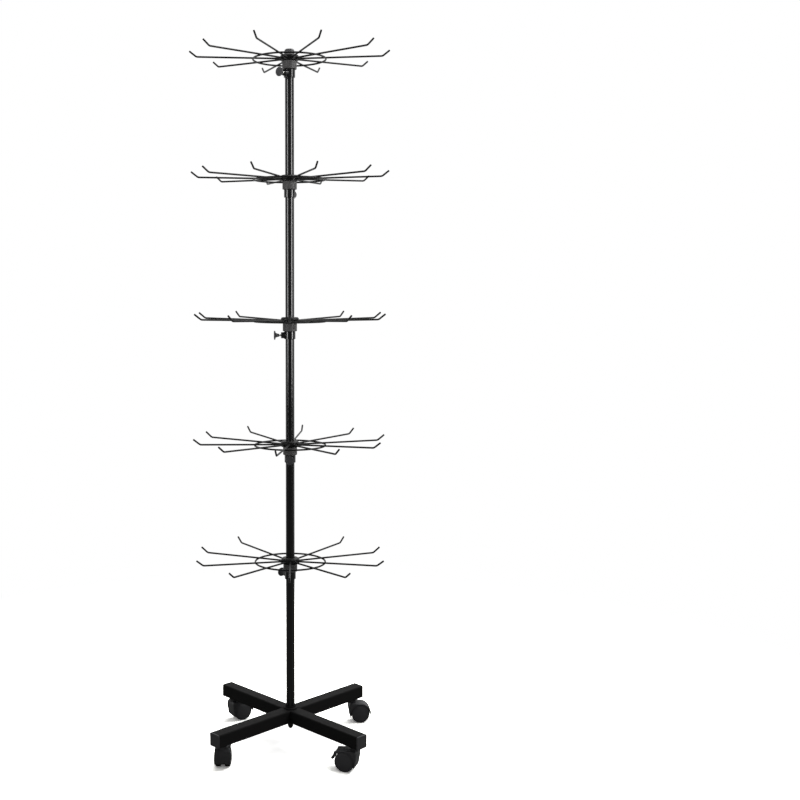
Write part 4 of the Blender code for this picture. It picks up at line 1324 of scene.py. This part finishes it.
    def housing(self, braked: bool) -> Mesh:
        """Make the hood with its rounded sides, the web, the neck and the bores.

        Args:
            braked: Whether the hood leaves room for a brake lever and carries its ears.

        Returns:
            The housing.
        """
        back = self.hood_back_braked if braked else self.hood_back
        half, edge = self.hood_half_width, self.hood_edge
        sides = [(half - edge + edge * math.sin(t), 1 - math.cos(t))
                 for t in (math.radians(90 * k / self.side_steps) for k in range(self.side_steps + 1))]
        sides = [(-width, rounding) for width, rounding in reversed(sides)] + sides
        rings = [[(x, y * self.barrel(z), z) for x, z in self.hood_outline(back, rounding)]
                 for y, rounding in sides]
        seat, foot = self.inner + self.hood_wall / 2, self.inner + self.wheel_radius
        web = [*self.round_axle(seat, back, self.hood_front, self.web_steps),
               *self.round_axle(self.axle_boss, self.boss_start, self.boss_stop, self.boss_steps)]
        neck = [(0.0, foot), (self.neck_radius, foot), (self.neck_radius, self.housing_top, 0.0008),
                (0.0, self.housing_top)]
        shape = combined(lofted("castor_housing", rings), Joining.ADD,
                         slab("web", web, self.web_half_width), turned("neck", neck, MEDIUM))
        if braked:
            shape = self.with_ears(shape)
        bores = [rod(self.pin_radius + GAP, self.housing_top - self.pin, self.height),
                 rod(self.axle_bore, -half, half, matrix=self.to_axle @ ALONG_Y)]
        shape = combined(shape, Joining.CUT, gathered("bores", bores))
        return softened(shape, self.cut_edge, segments=2, angle=38.0)

    def with_ears(self, shape: Mesh) -> Mesh:
        """Add the two ears that hold the brake lever's pins.

        Args:
            shape: The housing, used up.

        Returns:
            The housing with its ears, slotted and bored.
        """
        outside, width = self.barrel_radius + self.ear_wall, self.lever_half_width + GAP
        root, angle = self.hood_back_braked + self.ear_reach, self.pivot_angle
        ear = self.round_axle(self.inner + GAP, root, self.hood_back_braked - self.ear_overhang, 2)
        ear += arc(outside, angle + 180, angle + 375, 20, *self.pivot)
        ear += [polar(radius, root, self.trail, self.wheel_radius)
                for radius in (self.outer - GAP, self.inner + self.hood_wall / 2)]
        slot = arc(outside + GAP, 0, 360, MEDIUM, *self.pivot)[:-1]
        bore = rod(self.lever_pin + GAP, -self.height, self.height, self.pin_steps, self.to_pivot @ ALONG_Y)
        shape = combined(shape, Joining.ADD, slab("ears", ear, width + self.ear_thickness))
        return combined(shape, Joining.CUT, slab("slot", slot, width), bore)

    def face(self, degrees: float, out: float = 0.0, up: float = 0.0, ease: float = 0.0) -> Corner:
        """Give a corner of the disc's domed face, shifted a little from the dome.

        Args:
            degrees: How far up the dome it lies, from 0 at the rim to 90 at the middle.
            out: How far it is shifted outwards.
            up: How far it is raised.
            ease: Its radius.

        Returns:
            The corner.
        """
        angle = math.radians(degrees)
        return (self.wheel_radius * math.cos(angle) + out,
                self.disc_end + self.wheel_dome * math.sin(angle) + up, ease)

    def disc(self) -> Mesh:
        """Make a wheel disc from its inner face, along Z, with a moulded ring in its domed face.

        Returns:
            The disc, with the castor's middle at zero.
        """
        bore, start, end = self.axle_bore, self.disc_start, self.disc_end
        seat = self.wheel_radius - self.tyre_thickness + self.tyre_overlap
        rim, edge = self.wheel_radius * self.rim_share, self.disc_edge
        return turned("wheel_disc", [
            (0.0, end + GAP), (bore, end + GAP), (bore, start), (seat, start, edge), (seat, end - edge),
            (rim, end - edge, 0.0006), (rim, end + self.face_start, 0.0012),
            *map(self.face, self.face_angles), self.face(self.ring_angle, self.ring_cut, 0.0, 0.0003),
            self.face(self.ring_angle, 0.0, -self.ring_cut, 0.0003),
            self.face(self.ring_angle, -self.ring_width, self.ring_rise, 0.0004),
            *map(self.face, self.inner_angles),
            (0.0, end + self.wheel_dome)])

    def tyre(self) -> Mesh:
        """Make the tyre ring round a wheel disc, along Z.

        Returns:
            The tyre, placed as its disc is.
        """
        seat, radius = self.wheel_radius - self.tyre_thickness, self.wheel_radius
        start, end = self.disc_start + self.tyre_inset, self.disc_end - self.tyre_setback
        return turned("tyre", [(seat, start, 0.0003), (radius, start, 0.0012), (radius, end, 0.0008),
                               (seat, end, 0.0002)], RING_STEPS, closed=True)

    def lever(self) -> Mesh:
        """Make the brake lever about its pivot: a barrel with pins, a shoe, and a lip.

        Returns:
            The lever.
        """
        x, y = self.trail - self.pivot[0], self.wheel_radius - self.pivot[1]
        shoe = self.wheel_radius + self.shoe_clearance
        outer = shoe + self.lever_thickness
        start, end = self.pivot_angle, self.pivot_angle - self.lever_length
        lip = outer + self.lever_lip
        outline = [*arc(shoe, start - self.lever_heel, end, 10, x, y),
                   (*polar(lip, end, x, y), 0.0009), (*polar(lip, end + self.lip_width, x, y), 0.0009),
                   (*polar(outer, end + self.lip_foot, x, y), 0.002),
                   *arc(outer, end + self.lip_fade, start - self.lever_back, 4, x, y),
                   *arc(self.barrel_radius, start - self.barrel_start, start + self.barrel_stop,
                        self.barrel_steps)]
        shape = softened(slab("brake_lever", outline, self.lever_half_width), self.lever_edge, segments=3,
                         angle=50.0)
        reach = self.lever_half_width + GAP + self.ear_thickness
        return gathered("brake_lever", [shape, rod(self.lever_pin, -reach, reach, self.pin_steps, ALONG_Y)])

    def lever_ribs(self) -> Mesh:
        """Make the grip ribs on the lever's back, about the pivot.

        Returns:
            The ribs.
        """
        back = self.wheel_radius + self.shoe_clearance + self.lever_thickness
        first = self.pivot_angle - self.lever_length + self.rib_start
        ribs = self.ribs.grow(path_mesh("lever_ribs", []), self.material(Finishes.polypropylene), {
            "Ribs": 3, "Arc Radius": back - self.rib_sink, "Arc Height": 0.0,
            "First Angle": -math.radians(first), "Step Angle": -math.radians(self.rib_step),
            "Rib Radius": self.rib_radius, "Rib Half Length": self.lever_half_width - self.rib_inset})
        axle = Matrix.Translation((self.trail - self.pivot[0], 0.0, self.wheel_radius - self.pivot[1]))
        ribs.transform(axle @ Matrix.Rotation(math.pi / 2, 4, "X") @ Matrix.Rotation(math.pi, 4, "X"))
        return ribs

    def build(self) -> None:
        """Put the pieces of the four castors over the model's, each at its joints."""
        own = Finishes
        stem, disc, tyre = self.stem(), self.disc(), self.tyre()
        lever, ribs = self.lever(), self.lever_ribs()
        housings = {braked: self.housing(braked) for braked in (True, False)}
        for corner in self.corners:
            place = joint("swivel_" + corner)[0]
            along = joint("roll_left_" + corner)[1]
            braked = "brake_lever_" + corner in frame["nodes"]
            swivel = turned_to((place.x, place.y, 0.0), math.degrees(math.atan2(-along.x, along.y)))
            self.dress("castor_stem_pin_" + corner, stem, own.black_oxide, "base", "castor_stem_" + corner,
                       swivel)
            self.dress("castor_hood_" + corner, housings[braked], own.polypropylene, "castor_" + corner,
                       "castor_housing_" + corner, swivel)
            for side, turn in (("left", -90), ("right", 90)):
                body = f"wheel_{side}_{corner}"
                matrix = swivel @ self.to_axle @ Matrix.Rotation(math.radians(turn), 4, "X")
                self.dress(f"castor_disc_{side}_{corner}", disc, own.nylon, body,
                           f"castor_wheel_{side}_{corner}", matrix)
                self.dress(f"castor_tyre_{side}_{corner}", tyre, own.tyre, body, matrix=matrix)
            if braked:
                at_pivot, body = swivel @ self.to_pivot, "lever_" + corner
                self.dress("castor_brake_" + corner, lever, own.polypropylene, body, "brake_lever_" + corner,
                           at_pivot)
                self.dress("castor_brake_ribs_" + corner, ribs, own.polypropylene, body, matrix=at_pivot)


# Studio

@dataclass(frozen=True)
class Softbox:
    """A rectangular lamp. A grid in front of it narrows its spread, which is in degrees."""

    name: str
    place: tuple[float, float, float]
    aim: tuple[float, float, float]
    width: float
    height: float
    watts: float
    spread: float = 180.0

    def hang(self) -> None:
        """Put the lamp in the scene."""
        data = bpy.data.lights.new(self.name, "AREA")
        data.shape = "RECTANGLE"
        data.size, data.size_y, data.energy = self.width, self.height, self.watts
        data.spread = math.radians(self.spread)
        lamp = bpy.data.objects.new(self.name, data)
        lamp.location = self.place
        lamp.rotation_euler = (Vector(self.aim) - Vector(self.place)).to_track_quat("-Z", "Y").to_euler()
        bpy.context.scene.collection.objects.link(lamp)


@dataclass(frozen=True)
class Studio:
    """A pale floor, a white background, soft lamps and the camera."""

    floor_size: float = 60.0
    floor_colour: str = "#8a8a88"
    floor_gain: float = 3.0         # by how much the camera sees the lit floor lighter than it is
    floor_lift: float = 0.75        # the share of plain white in the floor seen under the crossing,
    castor_lift: float = 0.10       # and in the floor seen under the castors
    crossing_reach: float = 0.10    # how far the first goes,
    castor_reach: float = 0.16      # and where the second begins
    floor_near: float = 0.9         # up to this radius the floor shows its shadows,
    floor_far: float = 1.6          # and past this one it is plain white
    room_light: float = 0.27
    dark_side: float = 0.25         # what a mirror sees on the camera's side of the room,
    dark_until: float = -0.1        # where it looks back by less than this,
    white_from: float = 0.5         # and it sees white where it looks back by more than this
    camera_reach: float = 2.588
    camera_azimuth: float = 272.0
    camera_height: float = 1.075
    camera_pitch: float = -5.93
    camera_roll: float = -0.10
    lens: float = 51.8
    film_width: float = 36.0
    clip: tuple[float, float] = (0.05, 100.0)
    shift: float = 0.1375
    lamps: tuple[Softbox, ...] = (
        Softbox("strip_left", (-1.75, -1.35, 1.5), (0.0, 0.0, 1.5), 0.60, 1.62, 3.8, 50.0),
        Softbox("strip_right", (1.75, -1.15, 1.5), (0.0, 0.0, 1.5), 0.60, 1.62, 5.2, 50.0),
        Softbox("overhead", (0.8, 1.1, 4.8), (0.0, 0.0, 0.3), 3.4, 3.4, 155.0),
        Softbox("key", (2.9, 0.5, 3.0), (0.0, 0.0, 0.0), 0.7, 0.7, 55.0))

    def room(self) -> None:
        """Make the world: white when seen, a white backdrop to mirrors, and a dim even light elsewhere."""
        world = bpy.data.worlds.new("studio_room")
        bpy.context.scene.world = world
        world.use_nodes = True
        world.node_tree.nodes.clear()
        add = partial(add_node, world.node_tree)
        path = add("ShaderNodeLightPath").outputs
        way = add("ShaderNodeTexCoord").outputs["Generated"]
        across = add("ShaderNodeSeparateXYZ", inputs={"Vector": way}).outputs["Y"]
        mirrored = add("ShaderNodeMapRange", SMOOTH_STEP, {
            "Value": across, "From Min": self.dark_until, "From Max": self.white_from,
            "To Min": self.dark_side})
        light = add("ShaderNodeMapRange", inputs={
            "Value": path["Is Glossy Ray"], "To Min": self.room_light, "To Max": mirrored})
        clear = add("ShaderNodeMath", LARGER, {0: path["Is Camera Ray"], 1: path["Is Transmission Ray"]})
        strength = add("ShaderNodeMapRange", inputs={"Value": clear, "To Min": light})
        background = add("ShaderNodeBackground", inputs={"Color": WHITE, "Strength": strength})
        add("ShaderNodeOutputWorld", inputs={"Surface": background})

    def floor(self) -> None:
        """Make the floor: its shadows show round the rack, and further off it is plain white when seen."""
        half = self.floor_size / 2
        mesh = bpy.data.meshes.new("studio_floor")
        mesh.from_pydata([(-half, -half, 0), (half, -half, 0), (half, half, 0), (-half, half, 0)], [],
                         [(0, 1, 2, 3)])
        floor = shown(mesh)
        material = bpy.data.materials.new("pale_studio_floor")
        material.use_nodes = True
        material.node_tree.nodes.clear()
        add = partial(add_node, material.node_tree)
        path = add("ShaderNodeLightPath").outputs
        place = add("ShaderNodeTexCoord").outputs["Object"]
        radius = add("ShaderNodeVectorMath", {"operation": "LENGTH"}, {0: place}).outputs["Value"]
        colour = linear(self.floor_colour)
        gain = add("ShaderNodeMapRange", inputs={
            "Value": path["Is Camera Ray"], "To Min": 1.0, "To Max": self.floor_gain / colour[0]})
        tint = add("ShaderNodeVectorMath", {"operation": "SCALE"}, {0: colour[:3], "Scale": gain})
        paint = add("ShaderNodeBsdfDiffuse", inputs={"Color": tint})
        white = add("ShaderNodeEmission", inputs={"Color": WHITE})
        under = add("ShaderNodeMapRange", SMOOTH_STEP, {
            "Value": radius, "From Min": self.crossing_reach, "From Max": self.castor_reach,
            "To Min": self.floor_lift, "To Max": self.castor_lift})
        lift = add("ShaderNodeMapRange", inputs={"Value": path["Is Camera Ray"], "To Max": under})
        far = add("ShaderNodeMapRange", SMOOTH_STEP, {
            "Value": radius, "From Min": self.floor_near, "From Max": self.floor_far, "To Min": lift})
        mirror = add("ShaderNodeMath", LARGER, {0: path["Is Glossy Ray"], 1: path["Is Transmission Ray"]})
        across = add("ShaderNodeSeparateXYZ", inputs={"Vector": place}).outputs["Y"]
        behind = add("ShaderNodeMapRange", inputs={
            "Value": across, "From Max": self.floor_far, "To Max": mirror})
        seen = add("ShaderNodeMath", LARGER, {0: path["Is Camera Ray"], 1: behind})
        share = add("ShaderNodeMath", {"operation": "MULTIPLY"}, {0: seen, 1: far})
        mix = add("ShaderNodeMixShader", inputs={"Fac": share, 1: paint, 2: white})
        add("ShaderNodeOutputMaterial", inputs={"Surface": mix})
        mesh.materials.append(material)

    def camera(self) -> None:
        """Stand the camera at the photograph's viewing angle."""
        data = bpy.data.cameras.new("photo_camera")
        data.lens, data.sensor_width, data.shift_x = self.lens, self.film_width, self.shift
        data.clip_start, data.clip_end = self.clip
        camera = bpy.data.objects.new("photo_camera", data)
        place = turned_to((*polar(self.camera_reach, self.camera_azimuth), self.camera_height),
                          self.camera_azimuth - 270.0)
        pitch = Matrix.Rotation(math.radians(90.0 + self.camera_pitch), 4, "X")
        camera.matrix_world = place @ pitch @ Matrix.Rotation(math.radians(self.camera_roll), 4, "Z")
        bpy.context.scene.collection.objects.link(camera)
        bpy.context.scene.camera = camera

    def build(self) -> None:
        """Set up the whole studio."""
        bpy.context.scene.view_settings.view_transform = "Standard"
        self.camera()
        self.room()
        self.floor()
        for lamp in self.lamps:
            lamp.hang()


def main() -> None:
    """Build the studio and dress the rack, one assembly after the other."""
    logging.basicConfig(level=logging.INFO, format="%(message)s")
    Studio().build()
    finishes = Finishes()
    finishes.repaint_model()
    for kind in (Base, Pole, Tier, Castor):
        kind(finishes).build()


if __name__ == "__main__":
    main()
